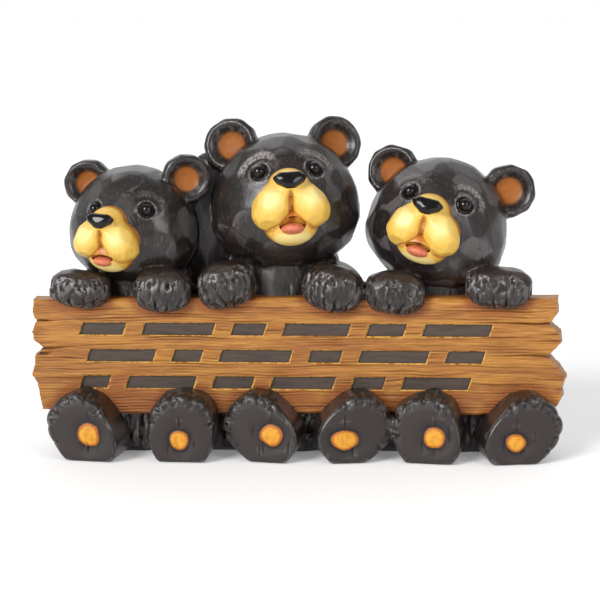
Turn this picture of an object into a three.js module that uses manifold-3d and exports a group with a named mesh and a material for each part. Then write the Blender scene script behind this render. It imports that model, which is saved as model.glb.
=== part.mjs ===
// Three black bear cubs peeping over a rough wooden board: a garden or porch figure.
// It imitates chainsaw carving, but is one resin casting, so the whole figure is one closed solid.
// Millimetres. X runs along the board, the figure faces -Y, Z is up and the floor is Z = 0.
import * as THREE from "three";
import { mergeVertices } from "three/addons/utils/BufferGeometryUtils.js";
import Module from "manifold-3d";

const wasm = await Module();
wasm.setup();

// Overall reach of the figure. The casting is trimmed flat at the floor and at these limits.
const HALF_LENGTH = 200;
const HALF_DEPTH = 62;
const HEIGHT = 248;

// The board
const BOARD_FRONT = -32;
const BOARD_THICKNESS = 22;
const BARK_EDGE = 2;
// Torn ends as [inset from the furthest tip, height], from the top corner down
const LEFT_END = [
  [3, 116], [1.5, 107], [4, 100], [1, 92], [2, 86], [9, 80],
  [3, 74], [2, 66], [0, 60], [4, 53], [6, 43], [8, 33],
];
const RIGHT_END = [
  [8, 119], [7, 108], [13, 100], [5, 93], [4, 85], [14, 76],
  [5, 67], [0, 60], [3, 51], [2, 45], [6, 38], [14, 34],
];
// The long edges between the ends, as [x, height]
const LOWER_EDGE = [[-150, 30], [0, 31], [150, 31]];
const UPPER_EDGE = [[60, 119], [-80, 118]];
// The right end is torn on a slope, from this place on, so its face is shorter than its back
const END_SLOPE = { from: 170, rise: 4 };

// The inscription's place: rows of shallow slanted dashes, as [start, end] along X
const STROKE = { depth: 2.5, height: 9, slant: 3 };
const STROKE_ROWS = [
  { z: 94.5, dashes: [[-163, -128], [-117, -62], [-51, -24], [-13, 38], [49, 79], [90, 142]] },
  { z: 74.5, dashes: [[-158, -106], [-95, -71], [-60, -5], [6, 32], [43, 96], [107, 137]] },
  { z: 54.5, dashes: [[-163, -140], [-129, -76], [-65, -33], [-22, 27], [38, 64], [75, 127]] },
];

// Long carved grain furrows on the board's face, as [start, end, height]
const FURROW_RADIUS = 1.6;
const FURROWS = [
  [-192, -120, 104.5], [-30, 120, 107], [-194, -168, 76], [-193, -150, 64], [60, 190, 103.5], [148, 184, 92],
  [146, 188, 71], [150, 192, 57], [-110, -40, 84.5], [-20, 60, 64.5], [20, 140, 84.5], [-150, -40, 64.5],
  [-190, -100, 43.5], [-60, 80, 43], [60, 170, 44],
];

// Each cub: its head's centre, scale against the middle one, turn to the viewer's right, lift and tilt in
// degrees, and its left and right ears as [x, z] in the head's own frame
const CUBS = [
  { head: [-127.5, 8, 167], size: 0.88, turn: -15, lift: 3, tilt: 3, ears: [[-39, 33], [43, 42]] },
  { head: [-12, 8, 185.5], size: 0.99, turn: 5, lift: 13, tilt: -3.5, ears: [[-37.5, 42], [40.5, 42]] },
  { head: [103, 8, 169.5], size: 0.95, turn: -10, lift: 11.5, tilt: 13, ears: [[-45, 25], [46, 36]] },
];

// A cub's head, before it is scaled, turned and placed. Its face looks along -Y.
const SKULL = { radii: [54, 49, 52], chisel: 0.02 };
const JOWL = { swell: 0.11, height: -0.55, spread: 0.5 };
const EYE = { x: 21.5, y: -40.5, z: 15.5, radii: [6, 6, 6] };
const LOBE = { x: 13, y: -51, z: -7, radii: [17, 18.5, 18.5] };
const BRIDGE = { y: -42, z: 4, radii: [18.5, 27, 15.5] };
const JAW = { y: -40.5, z: -23.5, radii: [19.5, 20.5, 14.5] };
const MOUTH = { y: -61.5, z: -24, radii: [11, 16, 7] };
const TONGUE = { y: -52.5, z: -27.5, radii: [9, 11, 4.5] };

// The nose pad's right half as [share of the width, share of the height], from the top down to its point
const NOSE = { y: -71.5, z: 6, width: 25, height: 12.5, depth: 8, slope: -16, edge: 2 };
const NOSE_OUTLINE = [[0.3, 0.45], [0.47, 0.25], [0.42, -0.05], [0.12, -0.5]];

// An ear is a dished disc. Its section runs from the middle of its back to the middle of its dish.
const EAR = { y: 4, turn: 18, facets: 9 };
const EAR_SECTION = [
  [0, -7.5], [14.7, -6.5], [20.4, -2.5], [20.4, 3.5], [17.2, 7], [12.5, 5.5], [10, 1], [0, -1],
];

// Forepaws hooked over the board's top edge: place, radii and lean in degrees
const PAW = { toes: 4, spacing: 36, cleft: 0.1, meridians: 20, rings: 7 };
const PAWS = [
  { at: [-162, -28, 124], radii: [24, 17, 15.5], lean: 4 },
  { at: [-100.6, -29, 123.5], radii: [23, 18, 18], lean: 0 },
  { at: [-54, -28, 127.5], radii: [23, 18, 18.5], lean: -14 },
  { at: [24.6, -29, 125.5], radii: [24, 18, 18.5], lean: 12 },
  { at: [70, -29, 122.5], radii: [24, 18, 17.5], lean: 6 },
  { at: [146, -28, 126.5], radii: [26, 18, 17], lean: 4 },
];

// Arms from the shoulder to the paw, as pairs of points, with their ends rounded past those points
const ARM = { radius: 19, overrun: 15 };
const ARMS = [
  [[-157, 20, 104], [-161, -16, 121]],
  [[-97, 20, 106], [-100, -16, 121]],
  [[-44, 20, 120], [-53, -16, 124]],
  [[20, 20, 124], [34, -14, 119]],
  [[73, 20, 106], [71, -16, 119]],
  [[133, 20, 106], [144, -16, 122]],
];

// A cub's body from the floor to inside its head: [radius against the hips, height against the neck]
const BODY = { y: 16, hips: 59, depth: 0.76, neckDrop: 44, facets: 14 };
const BODY_PROFILE = [
  [0, 0], [0.86, 0], [1, 0.16], [1.02, 0.36], [0.92, 0.62], [0.8, 0.82], [0.7, 1], [0.6, 1.15], [0, 1.2],
];

// The middle cub's raised shoulder fills the space between its head and the left cub's
const SHOULDER = { at: [-71, 24, 160], radii: [20, 18, 56] };

// Hind feet, soles to the front: middle of the sole, half width, half length from heel to toe, lean of the
// toes to the viewer's right and turn of the sole in degrees, and its bare pad
const SOLE = { front: -60, top: 51, depth: 34, squareness: 2.5, taper: 0.13, edge: 3, heelFacets: 8 };
const TOE = { count: 5, spacing: 26, bulge: 2.6 };
const PAD = { gap: 2, sink: 0.4, depth: 5, facets: 7 };
const FEET = [
  { x: -157, half: 23, length: 30, lean: -38, turn: -10, pad: [-153.5, 20], padRadii: [8.5, 9] },
  { x: -86, half: 24, length: 28, lean: 0, turn: -3, pad: [-87, 17], padRadii: [7, 7.5] },
  { x: -25.5, half: 23, length: 29, lean: -50, turn: -10, pad: [-19.5, 21], padRadii: [8.5, 7.8] },
  { x: 39.5, half: 23, length: 29, lean: 52, turn: 9, pad: [34.5, 18], padRadii: [10.5, 7] },
  { x: 94, half: 24.5, length: 28, lean: -20, turn: -9, pad: [99, 20], padRadii: [8, 8] },
  { x: 161.5, half: 23, length: 31, lean: 48, turn: 9, pad: [158.5, 16.5], padRadii: [7.5, 6.8] },
];

// The haunch behind each foot, drawn in towards the middle of the figure, and the low wall between them
const HAUNCH = { radii: [25, 34, 22], drawIn: 0.97, y: -6, z: 19 };
const SEAT = { left: -150, right: 155, front: -24, back: 46, height: 36, corner: 18, edge: 4 };

const { degToRad, radToDeg, smoothstep } = THREE.MathUtils;

// A repeatable value from 0 to 1 for a direction, so the chisel marks are the same on each run
function chance(direction) {
  const [x, y, z] = direction.toArray().map((v) => Math.round(v * 1e3) / 1e3);
  const s = Math.sin(x * 12.9898 + y * 78.233 + z * 37.719) * 43758.5453;
  return s - Math.floor(s);
}

// Moves each point of a unit ball along its own direction
function reshape(geometry, reachOf) {
  const place = geometry.attributes.position;
  const direction = new THREE.Vector3();
  for (let i = 0; i < place.count; i++) {
    direction.fromBufferAttribute(place, i).normalize();
    const reach = reachOf(direction);
    place.setXYZ(i, direction.x * reach, direction.y * reach, direction.z * reach);
  }
  return geometry;
}

function toSolid(geometry) {
  const bare = geometry.index ? geometry.toNonIndexed() : geometry.clone();
  bare.deleteAttribute("normal");
  bare.deleteAttribute("uv");
  const merged = mergeVertices(bare, 1e-3);
  return new wasm.Manifold(
    new wasm.Mesh({
      numProp: 3,
      vertProperties: new Float32Array(merged.attributes.position.array),
      triVerts: new Uint32Array(merged.index.array),
    }),
  );
}

function fuse(solids) {
  return solids.reduce((whole, next) => whole.add(next));
}

function lump(radii, detail) {
  return new THREE.IcosahedronGeometry(1, detail).scale(...radii);
}

// A small faceted bump
function knob(radii) {
  return new THREE.OctahedronGeometry(1, 1).scale(...radii);
}

function placed(geometry, position, turnDegrees = [0, 0, 0]) {
  const matrix = new THREE.Matrix4().makeRotationFromEuler(new THREE.Euler(...turnDegrees.map(degToRad)));
  matrix.setPosition(...position);
  return geometry.applyMatrix4(matrix);
}

function armSolid([from, to]) {
  const a = new THREE.Vector3(...from);
  const b = new THREE.Vector3(...to);
  const along = b.clone().sub(a);
  const geometry = lump([ARM.radius, ARM.radius, along.length() / 2 + ARM.overrun], 1);
  const up = new THREE.Vector3(0, 0, 1);
  geometry.applyQuaternion(new THREE.Quaternion().setFromUnitVectors(up, along.normalize()));
  const middle = a.add(b).multiplyScalar(0.5);
  return toSolid(geometry.translate(...middle));
}

// A ball widened at the jowls, with flat chisel facets
function skullSolid() {
  const ball = reshape(new THREE.IcosahedronGeometry(1, 3), (direction) => {
    const jowl = Math.exp(-(((direction.z - JOWL.height) / JOWL.spread) ** 2));
    const width = 1 + JOWL.swell * jowl * Math.abs(direction.x);
    return width * (1 - SKULL.chisel * chance(direction));
  });
  return toSolid(ball.scale(...SKULL.radii));
}

function earSolid([x, z]) {
  const section = EAR_SECTION.map(([radius, forward]) => new THREE.Vector2(radius, forward));
  const geometry = new THREE.LatheGeometry(section, EAR.facets).rotateX(Math.PI);
  return toSolid(placed(geometry, [x, EAR.y, z], [0, 0, Math.sign(x) * EAR.turn]));
}

function noseSolid() {
  const { y, z, width, height, depth, slope, edge } = NOSE;
  const right = NOSE_OUTLINE.map(([across, up]) => new THREE.Vector2(across * width, up * height));
  const left = right.map((point) => new THREE.Vector2(-point.x, point.y)).reverse();
  const geometry = new THREE.ExtrudeGeometry(new THREE.Shape([...right, ...left]), {
    depth, bevelSize: edge * 0.75, bevelOffset: -edge / 2, bevelThickness: edge, bevelSegments: 1,
  });
  return toSolid(placed(geometry.rotateX(Math.PI / 2), [0, y + depth, z], [slope, 0, 0]));
}

function headSolid(ears) {
  const ball = ({ y, z, radii }, x, detail) => toSolid(placed(lump(radii, detail), [x, y, z]));
  const bump = ({ y, z, radii }, x) => toSolid(placed(knob(radii), [x, y, z]));
  const muzzle = fuse([ball(LOBE, -LOBE.x, 2), ball(LOBE, LOBE.x, 2), ball(BRIDGE, 0, 1), ball(JAW, 0, 1)]);
  const face = muzzle.subtract(bump(MOUTH, 0)).add(bump(TONGUE, 0)).add(noseSolid());
  return fuse([skullSolid(), face, bump(EYE, -EYE.x), bump(EYE, EYE.x), ...ears.map(earSolid)]);
}

function cubHead({ head, size, turn, lift, tilt, ears }) {
  const angles = [-lift, tilt, turn].map(degToRad);
  const matrix = new THREE.Matrix4().makeRotationFromEuler(new THREE.Euler(...angles, "ZXY"));
  matrix.scale(new THREE.Vector3(size, size, size));
  matrix.setPosition(...head);
  return headSolid(ears).transform(matrix.elements);
}

function torsoSolid({ head: [x, , z] }) {
  const neck = z - BODY.neckDrop;
  const profile = BODY_PROFILE.map(([radius, up]) => new THREE.Vector2(radius * BODY.hips, up * neck));
  const geometry = new THREE.LatheGeometry(profile, BODY.facets).scale(1, 1, BODY.depth).rotateX(Math.PI / 2);
  return toSolid(geometry.translate(x, BODY.y, 0));
}

// A paw is a mitt whose front is parted into toes. Its meridians run down the toes and the clefts between.
function pawSolid({ at, radii, lean }) {
  const mitt = new THREE.SphereGeometry(1, PAW.meridians, PAW.rings).rotateX(Math.PI / 2);
  reshape(mitt, (direction) => {
    const round = radToDeg(Math.atan2(direction.x, -direction.y));
    const onToes = Math.abs(round) < (PAW.toes / 2) * PAW.spacing + 1;
    const cleft = onToes ? Math.cos((round / PAW.spacing) * 2 * Math.PI) : 1;
    const low = smoothstep(-direction.z, -0.6, 0.1);
    return 1 - (PAW.cleft * low * (1 + cleft)) / 2;
  });
  return toSolid(placed(mitt.scale(...radii), at, [0, lean, 0]));
}

// How far a sole's edge reaches from its middle, at an angle from the toes' direction: a rounded foot, a
// little wider at the toes, with its toe end scalloped
function soleReach(half, length, angle) {
  const { sin, cos, abs, PI } = Math;
  const power = SOLE.squareness;
  const edge = (abs(sin(angle) / half) ** power + abs(cos(angle) / length) ** power) ** (-1 / power);
  const toe = angle / degToRad(TOE.spacing);
  const scallop = abs(toe) < TOE.count / 2 + 0.01 ? (TOE.bulge * (1 + cos(toe * 2 * PI))) / 2 : 0;
  return edge * (1 + SOLE.taper * cos(angle)) + scallop;
}

function soleOutline({ half, length, lean }) {
  const toeEnd = (TOE.count / 2) * TOE.spacing;
  const angles = [];
  for (let step = 0; step <= 2 * TOE.count; step++) angles.push(-toeEnd + (step * TOE.spacing) / 2);
  for (let step = 1; step < SOLE.heelFacets; step++) {
    angles.push(toeEnd + (step / SOLE.heelFacets) * (360 - 2 * toeEnd));
  }
  return angles.map((degrees) => {
    const reach = soleReach(half, length, degToRad(degrees > 180 ? degrees - 360 : degrees));
    const leaned = degToRad(degrees + lean);
    return new THREE.Vector2(Math.sin(leaned) * reach, Math.cos(leaned) * reach);
  });
}

// A foot stands on its heel with the flat sole to the front. The toes stand round the sole's upper edge.
function footSolid(foot) {
  const outline = soleOutline(foot);
  const middle = SOLE.top - Math.max(...outline.map((point) => point.y));
  for (const point of outline) point.y = Math.max(point.y, -middle);
  const block = new THREE.ExtrudeGeometry(new THREE.Shape(outline), {
    depth: SOLE.depth,
    bevelSize: SOLE.edge, bevelOffset: -SOLE.edge, bevelThickness: SOLE.edge, bevelSegments: 1,
  });
  block.rotateX(Math.PI / 2).translate(0, SOLE.depth + SOLE.edge, middle);
  const padDisc = (margin, front) => {
    const disc = new THREE.CylinderGeometry(1, 1, PAD.depth, PAD.facets);
    disc.scale(foot.padRadii[0] + margin, 1, foot.padRadii[1] + margin);
    return toSolid(disc.translate(foot.pad[0] - foot.x, front + PAD.depth / 2, foot.pad[1]));
  };
  const whole = toSolid(block).subtract(padDisc(PAD.gap, -PAD.depth / 2)).add(padDisc(0, PAD.sink));
  const turn = degToRad(foot.turn);
  const matrix = new THREE.Matrix4().makeRotationZ(turn);
  matrix.setPosition(foot.x, SOLE.front + (Math.abs(Math.sin(turn)) * foot.half) / 2, 0);
  return whole.transform(matrix.elements);
}

function haunchSolid({ x }) {
  return toSolid(placed(knob(HAUNCH.radii), [x * HAUNCH.drawIn, HAUNCH.y, HAUNCH.z]));
}

function seatSolid() {
  const { left, right, front, back, height, corner, edge } = SEAT;
  const plan = new THREE.Shape();
  plan.moveTo(left + corner, front);
  plan.lineTo(right - corner, front);
  plan.quadraticCurveTo(right, front, right, front + corner);
  plan.quadraticCurveTo(right, back, right - 2 * corner, back);
  plan.lineTo(left + 2 * corner, back);
  plan.quadraticCurveTo(left, back, left, front + corner);
  plan.quadraticCurveTo(left, front, left + corner, front);
  const geometry = new THREE.ExtrudeGeometry(plan, {
    depth: height, curveSegments: 3,
    bevelSize: edge, bevelOffset: -edge, bevelThickness: edge, bevelSegments: 1,
  });
  return toSolid(geometry);
}

// A plank with torn ends, its outline in X and Z
function plankSolid() {
  const left = LEFT_END.map(([inset, z]) => [inset - HALF_LENGTH, z]);
  const right = RIGHT_END.map(([inset, z]) => [HALF_LENGTH - inset, z]).reverse();
  const loop = [...left, ...LOWER_EDGE, ...right, ...UPPER_EDGE].map(([x, z]) => new THREE.Vector2(x, z));
  const geometry = new THREE.ExtrudeGeometry(new THREE.Shape(loop), {
    depth: BOARD_THICKNESS - 2 * BARK_EDGE,
    bevelThickness: BARK_EDGE, bevelSize: BARK_EDGE, bevelOffset: -BARK_EDGE, bevelSegments: 1,
  });
  geometry.rotateX(Math.PI / 2).translate(0, BOARD_FRONT + BOARD_THICKNESS - BARK_EDGE, 0);
  const place = geometry.attributes.position;
  for (let i = 0; i < place.count; i++) {
    const nearEnd = smoothstep(place.getX(i), END_SLOPE.from, HALF_LENGTH);
    const forward = (BOARD_FRONT + BOARD_THICKNESS - place.getY(i)) / BOARD_THICKNESS;
    place.setX(i, place.getX(i) - nearEnd * forward * END_SLOPE.rise);
  }
  return toSolid(geometry);
}

function strokeCutter([start, end], z) {
  const low = z - STROKE.height / 2;
  const high = z + STROKE.height / 2;
  const corners = [[start, low], [start + STROKE.slant, high], [end, high], [end - STROKE.slant, low]];
  const outline = new THREE.Shape(corners.map(([x, up]) => new THREE.Vector2(x, up)));
  const geometry = new THREE.ExtrudeGeometry(outline, { depth: 2 * STROKE.depth, bevelEnabled: false });
  return toSolid(geometry.rotateX(Math.PI / 2).translate(0, BOARD_FRONT + STROKE.depth, 0));
}

function furrowCutter([start, end, z]) {
  const wedge = new THREE.CylinderGeometry(FURROW_RADIUS, FURROW_RADIUS, end - start, 4).rotateZ(Math.PI / 2);
  return toSolid(wedge.translate((start + end) / 2, BOARD_FRONT, z));
}

function boardSolid() {
  const strokes = STROKE_ROWS.flatMap(({ z, dashes }) => dashes.map((dash) => strokeCutter(dash, z)));
  const cutters = [...strokes, ...FURROWS.map(furrowCutter)];
  return cutters.reduce((board, cutter) => board.subtract(cutter), plankSolid());
}

function figureSolid() {
  const whole = fuse([
    ...CUBS.map(cubHead),
    ...CUBS.map(torsoSolid),
    ...ARMS.map(armSolid),
    toSolid(placed(knob(SHOULDER.radii), SHOULDER.at)),
    ...FEET.map(haunchSolid),
    seatSolid(),
    ...PAWS.map(pawSolid),
    ...FEET.map(footSolid),
    boardSolid(),
  ]);
  const reach = new THREE.BoxGeometry(2 * HALF_LENGTH, 2 * HALF_DEPTH, HEIGHT).translate(0, 0, HEIGHT / 2);
  return whole.intersect(toSolid(reach));
}

function toGeometry(solid) {
  const mesh = solid.getMesh();
  const geometry = new THREE.BufferGeometry();
  geometry.setAttribute("position", new THREE.BufferAttribute(new Float32Array(mesh.vertProperties), 3));
  geometry.setIndex(new THREE.BufferAttribute(new Uint32Array(mesh.triVerts), 1));
  geometry.computeVertexNormals();
  return geometry;
}

const castResin = new THREE.MeshStandardMaterial({ color: 0x3a3433, roughness: 0.45, metalness: 0 });
const casting = new THREE.Mesh(toGeometry(figureSolid()), castResin);
casting.name = "three_cubs_and_board";

const part = new THREE.Group();
part.add(casting);
export default part;
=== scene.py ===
"""Three bear cubs behind a rough board, cast in resin and painted to look carved with a chainsaw.

Run as a script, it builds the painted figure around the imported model, with a floor, lights and a camera.
Lengths are metres. X runs along the board, the figure faces -Y, Z is up and the floor is Z = 0.
"""

import math
from collections import namedtuple
from random import Random

import bpy
import numpy as np
from mathutils import Matrix, Vector, noise
from mathutils.bvhtree import BVHTree


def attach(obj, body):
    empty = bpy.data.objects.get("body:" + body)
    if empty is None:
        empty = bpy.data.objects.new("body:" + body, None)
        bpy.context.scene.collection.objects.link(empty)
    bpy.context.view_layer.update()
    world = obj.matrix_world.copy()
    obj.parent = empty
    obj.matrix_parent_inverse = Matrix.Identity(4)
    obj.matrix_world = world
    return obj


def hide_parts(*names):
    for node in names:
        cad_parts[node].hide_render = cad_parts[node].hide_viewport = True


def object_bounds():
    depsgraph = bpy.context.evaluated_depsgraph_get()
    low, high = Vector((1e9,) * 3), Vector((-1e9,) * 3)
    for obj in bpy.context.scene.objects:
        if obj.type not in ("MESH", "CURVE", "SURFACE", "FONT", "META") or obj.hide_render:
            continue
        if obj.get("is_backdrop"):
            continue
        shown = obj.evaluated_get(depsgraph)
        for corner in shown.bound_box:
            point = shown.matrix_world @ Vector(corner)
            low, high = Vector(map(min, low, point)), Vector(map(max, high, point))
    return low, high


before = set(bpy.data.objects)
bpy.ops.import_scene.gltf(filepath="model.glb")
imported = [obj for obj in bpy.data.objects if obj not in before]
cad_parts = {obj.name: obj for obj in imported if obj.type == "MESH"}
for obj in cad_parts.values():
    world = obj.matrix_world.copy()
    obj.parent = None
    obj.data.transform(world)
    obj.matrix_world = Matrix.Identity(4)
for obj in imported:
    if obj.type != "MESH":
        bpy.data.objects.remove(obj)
CAD_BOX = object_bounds()

bl_info = {
    "name": "Bear Cubs With Board",
    "version": (1, 0, 0),
    "blender": (4, 5, 0),
    "location": "3D View > Sidebar > Cubs",
    "description": "Builds a painted resin figure of three bear cubs behind a rough board",
    "category": "Add Mesh",
}

# The board. Its torn ends are (inset from the furthest tip, height), from the top corner down.
HALF_LENGTH = 0.2
BOARD_FRONT = -0.032
BOARD_THICKNESS = 0.022
BARK_EDGE = 0.002
LEFT_END = (
    (0.003, 0.116), (0.0015, 0.107), (0.004, 0.1), (0.001, 0.092), (0.002, 0.086), (0.009, 0.08),
    (0.003, 0.074), (0.002, 0.066), (0.0, 0.06), (0.004, 0.053), (0.006, 0.043), (0.008, 0.033),
)
RIGHT_END = (
    (0.008, 0.119), (0.007, 0.108), (0.013, 0.1), (0.005, 0.093), (0.004, 0.085), (0.014, 0.076),
    (0.005, 0.067), (0.0, 0.06), (0.003, 0.051), (0.002, 0.045), (0.006, 0.038), (0.014, 0.034),
)
LOWER_EDGE = ((-0.15, 0.03), (0.0, 0.031), (0.15, 0.031))
UPPER_EDGE = ((0.06, 0.119), (-0.08, 0.118))
END_SLOPE_FROM = 0.17
END_SLOPE_RISE = 0.004

# How finely the board is divided: rows up each face and over each edge, and stations along it
FACE_ROWS = 190
EDGE_ROWS = 9
STATIONS = 150

# The board's surface: how far a crack runs in for its notch's depth, the width of a groove of the grain, how
# uneven the wood is, how far the painted shade round paws and feet reaches and how deep the rim of a dash
# slants in
CRACK_SPREAD = 5
GRAIN_WIDTH = 0.00042
BOARD_UNEVENNESS = 0.0004
PAINTED_SHADE_REACH = 0.01
RIM_DEPTH = 0.0012

# The inscription's place: rows of shallow slanted dashes, as a height and (start, end) pairs along X
STROKE_HEIGHT = 0.009
STROKE_SLANT = 0.003
STROKE_ROWS = (
    (0.0945, (
        (-0.163, -0.128), (-0.117, -0.062), (-0.051, -0.024),
        (-0.013, 0.038), (0.049, 0.079), (0.09, 0.142),
    )),
    (0.0745, (
        (-0.158, -0.106), (-0.095, -0.071), (-0.06, -0.005),
        (0.006, 0.032), (0.043, 0.096), (0.107, 0.137),
    )),
    (0.0545, (
        (-0.163, -0.14), (-0.129, -0.076), (-0.065, -0.033),
        (-0.022, 0.027), (0.038, 0.064), (0.075, 0.127),
    )),
)

# Each cub: its head's centre, scale against a full-sized one, turn to the viewer's right, lift and tilt in
# degrees. In the head's own frame, its ears as (x, y, z, turn in degrees) and its eyes as (x, z). Then how
# strongly each brow is brushed grey, how far the mouth is open and how deep the jaw is, all as shares.
Cub = namedtuple("Cub", "head size turn lift tilt ears eyes brows opening jaw")
CUBS = (
    Cub(
        head=(-0.126, 0.008, 0.167), size=0.88, turn=-19, lift=3, tilt=3,
        ears=((-0.0418, -0.007, 0.0325, 12), (0.0442, 0.004, 0.0435, 30)),
        eyes=((-0.016, 0.0145), (0.0285, 0.0175)),
        brows=(0.1, 0.35), opening=0.55, jaw=0.96,
    ),
    Cub(
        head=(-0.012, 0.008, 0.1855), size=0.99, turn=6, lift=13, tilt=-3.5,
        ears=((-0.0368, 0.004, 0.0455, -18), (0.0405, 0.004, 0.042, 18)),
        eyes=((-0.0204, 0.0178), (0.0204, 0.0178)),
        brows=(1, 0.55), opening=1, jaw=1,
    ),
    Cub(
        head=(0.103, 0.008, 0.1695), size=0.95, turn=-12, lift=11.5, tilt=13,
        ears=((-0.0455, -0.003, 0.0305, -2), (0.046, 0.004, 0.0385, 18)),
        eyes=((-0.0204, 0.016), (0.0232, 0.0165)),
        brows=(0.35, 0.6), opening=0.6, jaw=0.86,
    ),
)

# A head in its own frame, facing -Y
SKULL_RADII = (0.054, 0.049, 0.052)
JOWL_SWELL = 0.11
JOWL_HEIGHT = -0.55
JOWL_SPREAD = 0.5
FACE_FORWARD = 0.93
BROW_CUT = (0.55, -0.66, 0.52)
BROW_CUT_DEPTH = 0.0022
EYE_SINK = 0.0014
EYE_RADIUS = 0.0052
LOBE = (0.0112, -0.0498, -0.0082)
LOBE_RADII = (0.0155, 0.0182, 0.0205)
LOBE_LEAN = 42
LOBE_FACETS = 34
UPPER_LIP = (0.0, -0.041, -0.0085)
UPPER_LIP_RADII = (0.0268, 0.0195, 0.0192)
BRIDGE = (0.0, -0.042, 0.004)
BRIDGE_RADII = (0.0165, 0.0265, 0.015)
JAW = (0.0, -0.0395, -0.0215)
JAW_RADII = (0.0205, 0.0205, 0.0163)
MOUTH = (0.0, -0.0615, -0.0245)
MOUTH_RADII = (0.0104, 0.016, 0.0062)
TONGUE = (0.0, -0.052, -0.0272)
TONGUE_RADII = (0.0092, 0.0112, 0.0044)
PARTING_WIDTHS = (0.0012, 0.0035)
PARTING_DEPTH = 0.0028
# How far the painted shade reaches each way from the crease where the lobes meet the jaw, then how far the
# airbrushed brown reaches from the fur
CREASE_SHADE_REACHES = (0.0035, 0.003)
AIRBRUSH_REACH = 0.0075
# Painted highlights: one over the middle of each lobe, as its middle and radius, and a band along the lower
# lip, as its height and width
HIGHLIGHT_MIDDLE = (0.0155, -0.068, -0.005)
HIGHLIGHT_RADIUS = 0.0095
LIP_HIGHLIGHT_HEIGHT = -0.0335
LIP_HIGHLIGHT_WIDTH = 0.004

# Round an eye, by the distance from its middle: a ring and a lid as (radius, width), and the brow over it
# as where it starts, is full, fades and ends, by distance and by degrees from straight up
SOCKET_RING = (0.0061, 0.0009)
LID_RING = (0.0081, 0.0011)
LID_SHARE = 0.3
BROW_BAND = (0.0115, 0.0132, 0.0168, 0.0196)
BROW_FAN = (-60, -30, 80, 105)
BROW_RISE = 0.0007

# A nose: the middle of its back, its size and slope, its right half's outline as shares of that size, and
# its section from back to front as (share of the depth, share of the width)
NOSE = (0.0, -0.0635, 0.0066)
NOSE_SIZE = (0.0262, 0.0076, 0.0132)
NOSE_SLOPE = -16
NOSE_OUTLINE = ((0.3, 0.45), (0.48, 0.18), (0.4, -0.12), (0.12, -0.5))
NOSE_SECTION = ((-0.6, 0.8), (0.2, 1.0), (0.6, 0.97), (0.85, 0.78), (1.0, 0.4))
NOSE_GRAIN = 0.0006

# An ear: how finely its disc is divided, the cuts round it and how far out they lie, its dish's radius, and
# its section from the middle of its back to the middle of its dish, as (radius, forward)
EAR_STEPS = 40
EAR_CUTS = 10
EAR_REACH = 0.0212
EAR_DISH = 0.0116
EAR_SECTION = (
    (0.015, -0.0068), (0.021, -0.0028), (0.0215, 0.001), (0.0208, 0.005), (0.0176, 0.0074), (0.0147, 0.006),
    (0.0124, 0.0036), (0.0106, 0.0012), (0.0062, -0.0004), (0.002, -0.0008),
)

# Forepaws: place, radii and lean in degrees
PAWS = (
    ((-0.162, -0.028, 0.124), (0.024, 0.017, 0.0155), 4),
    ((-0.1006, -0.029, 0.1235), (0.023, 0.018, 0.018), 0),
    ((-0.054, -0.028, 0.1275), (0.023, 0.018, 0.0185), -14),
    ((0.0246, -0.029, 0.1255), (0.024, 0.018, 0.0185), 12),
    ((0.07, -0.029, 0.1225), (0.024, 0.018, 0.0175), 6),
    ((0.146, -0.028, 0.1265), (0.026, 0.018, 0.017), 4),
)
PAW_SQUARENESS = 2.5
PAW_FIT = 0.97
FINGERS = 5
FINGER_SPACING = 27

# Arms, each from the shoulder to the paw, and how arms, haunches and paws are chiselled
ARM_RADIUS = 0.019
ARM_OVERRUN = 0.015
ARM_CHISEL = 0.0009
LIMB_FACETS = 30
LIMB_CHISEL = 0.001
ARMS = (
    ((-0.157, 0.02, 0.104), (-0.161, -0.016, 0.121)),
    ((-0.097, 0.02, 0.106), (-0.1, -0.016, 0.121)),
    ((-0.044, 0.02, 0.12), (-0.053, -0.016, 0.124)),
    ((0.02, 0.02, 0.124), (0.034, -0.014, 0.119)),
    ((0.073, 0.02, 0.106), (0.071, -0.016, 0.119)),
    ((0.133, 0.02, 0.106), (0.144, -0.016, 0.122)),
)

# The middle cub's raised shoulder fills the space between its head and the left cub's
SHOULDER = (-0.0715, 0.024, 0.153)
SHOULDER_RADII = (0.0245, 0.0175, 0.068)
SHOULDER_FACETS = 40

# A body from the floor to inside its head, with its profile as (radius against the hips, height against
# the neck)
BODY_Y = 0.016
BODY_HIPS = 0.059
BODY_DEPTH = 0.76
BODY_STEPS = 36
NECK_DROP = 0.044
BODY_PROFILE = (
    (0.86, 0.0), (0.95, 0.07), (1.0, 0.16), (1.02, 0.27), (1.02, 0.36), (0.98, 0.49), (0.92, 0.62),
    (0.8, 0.82), (0.7, 1.0), (0.6, 1.15),
)

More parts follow.
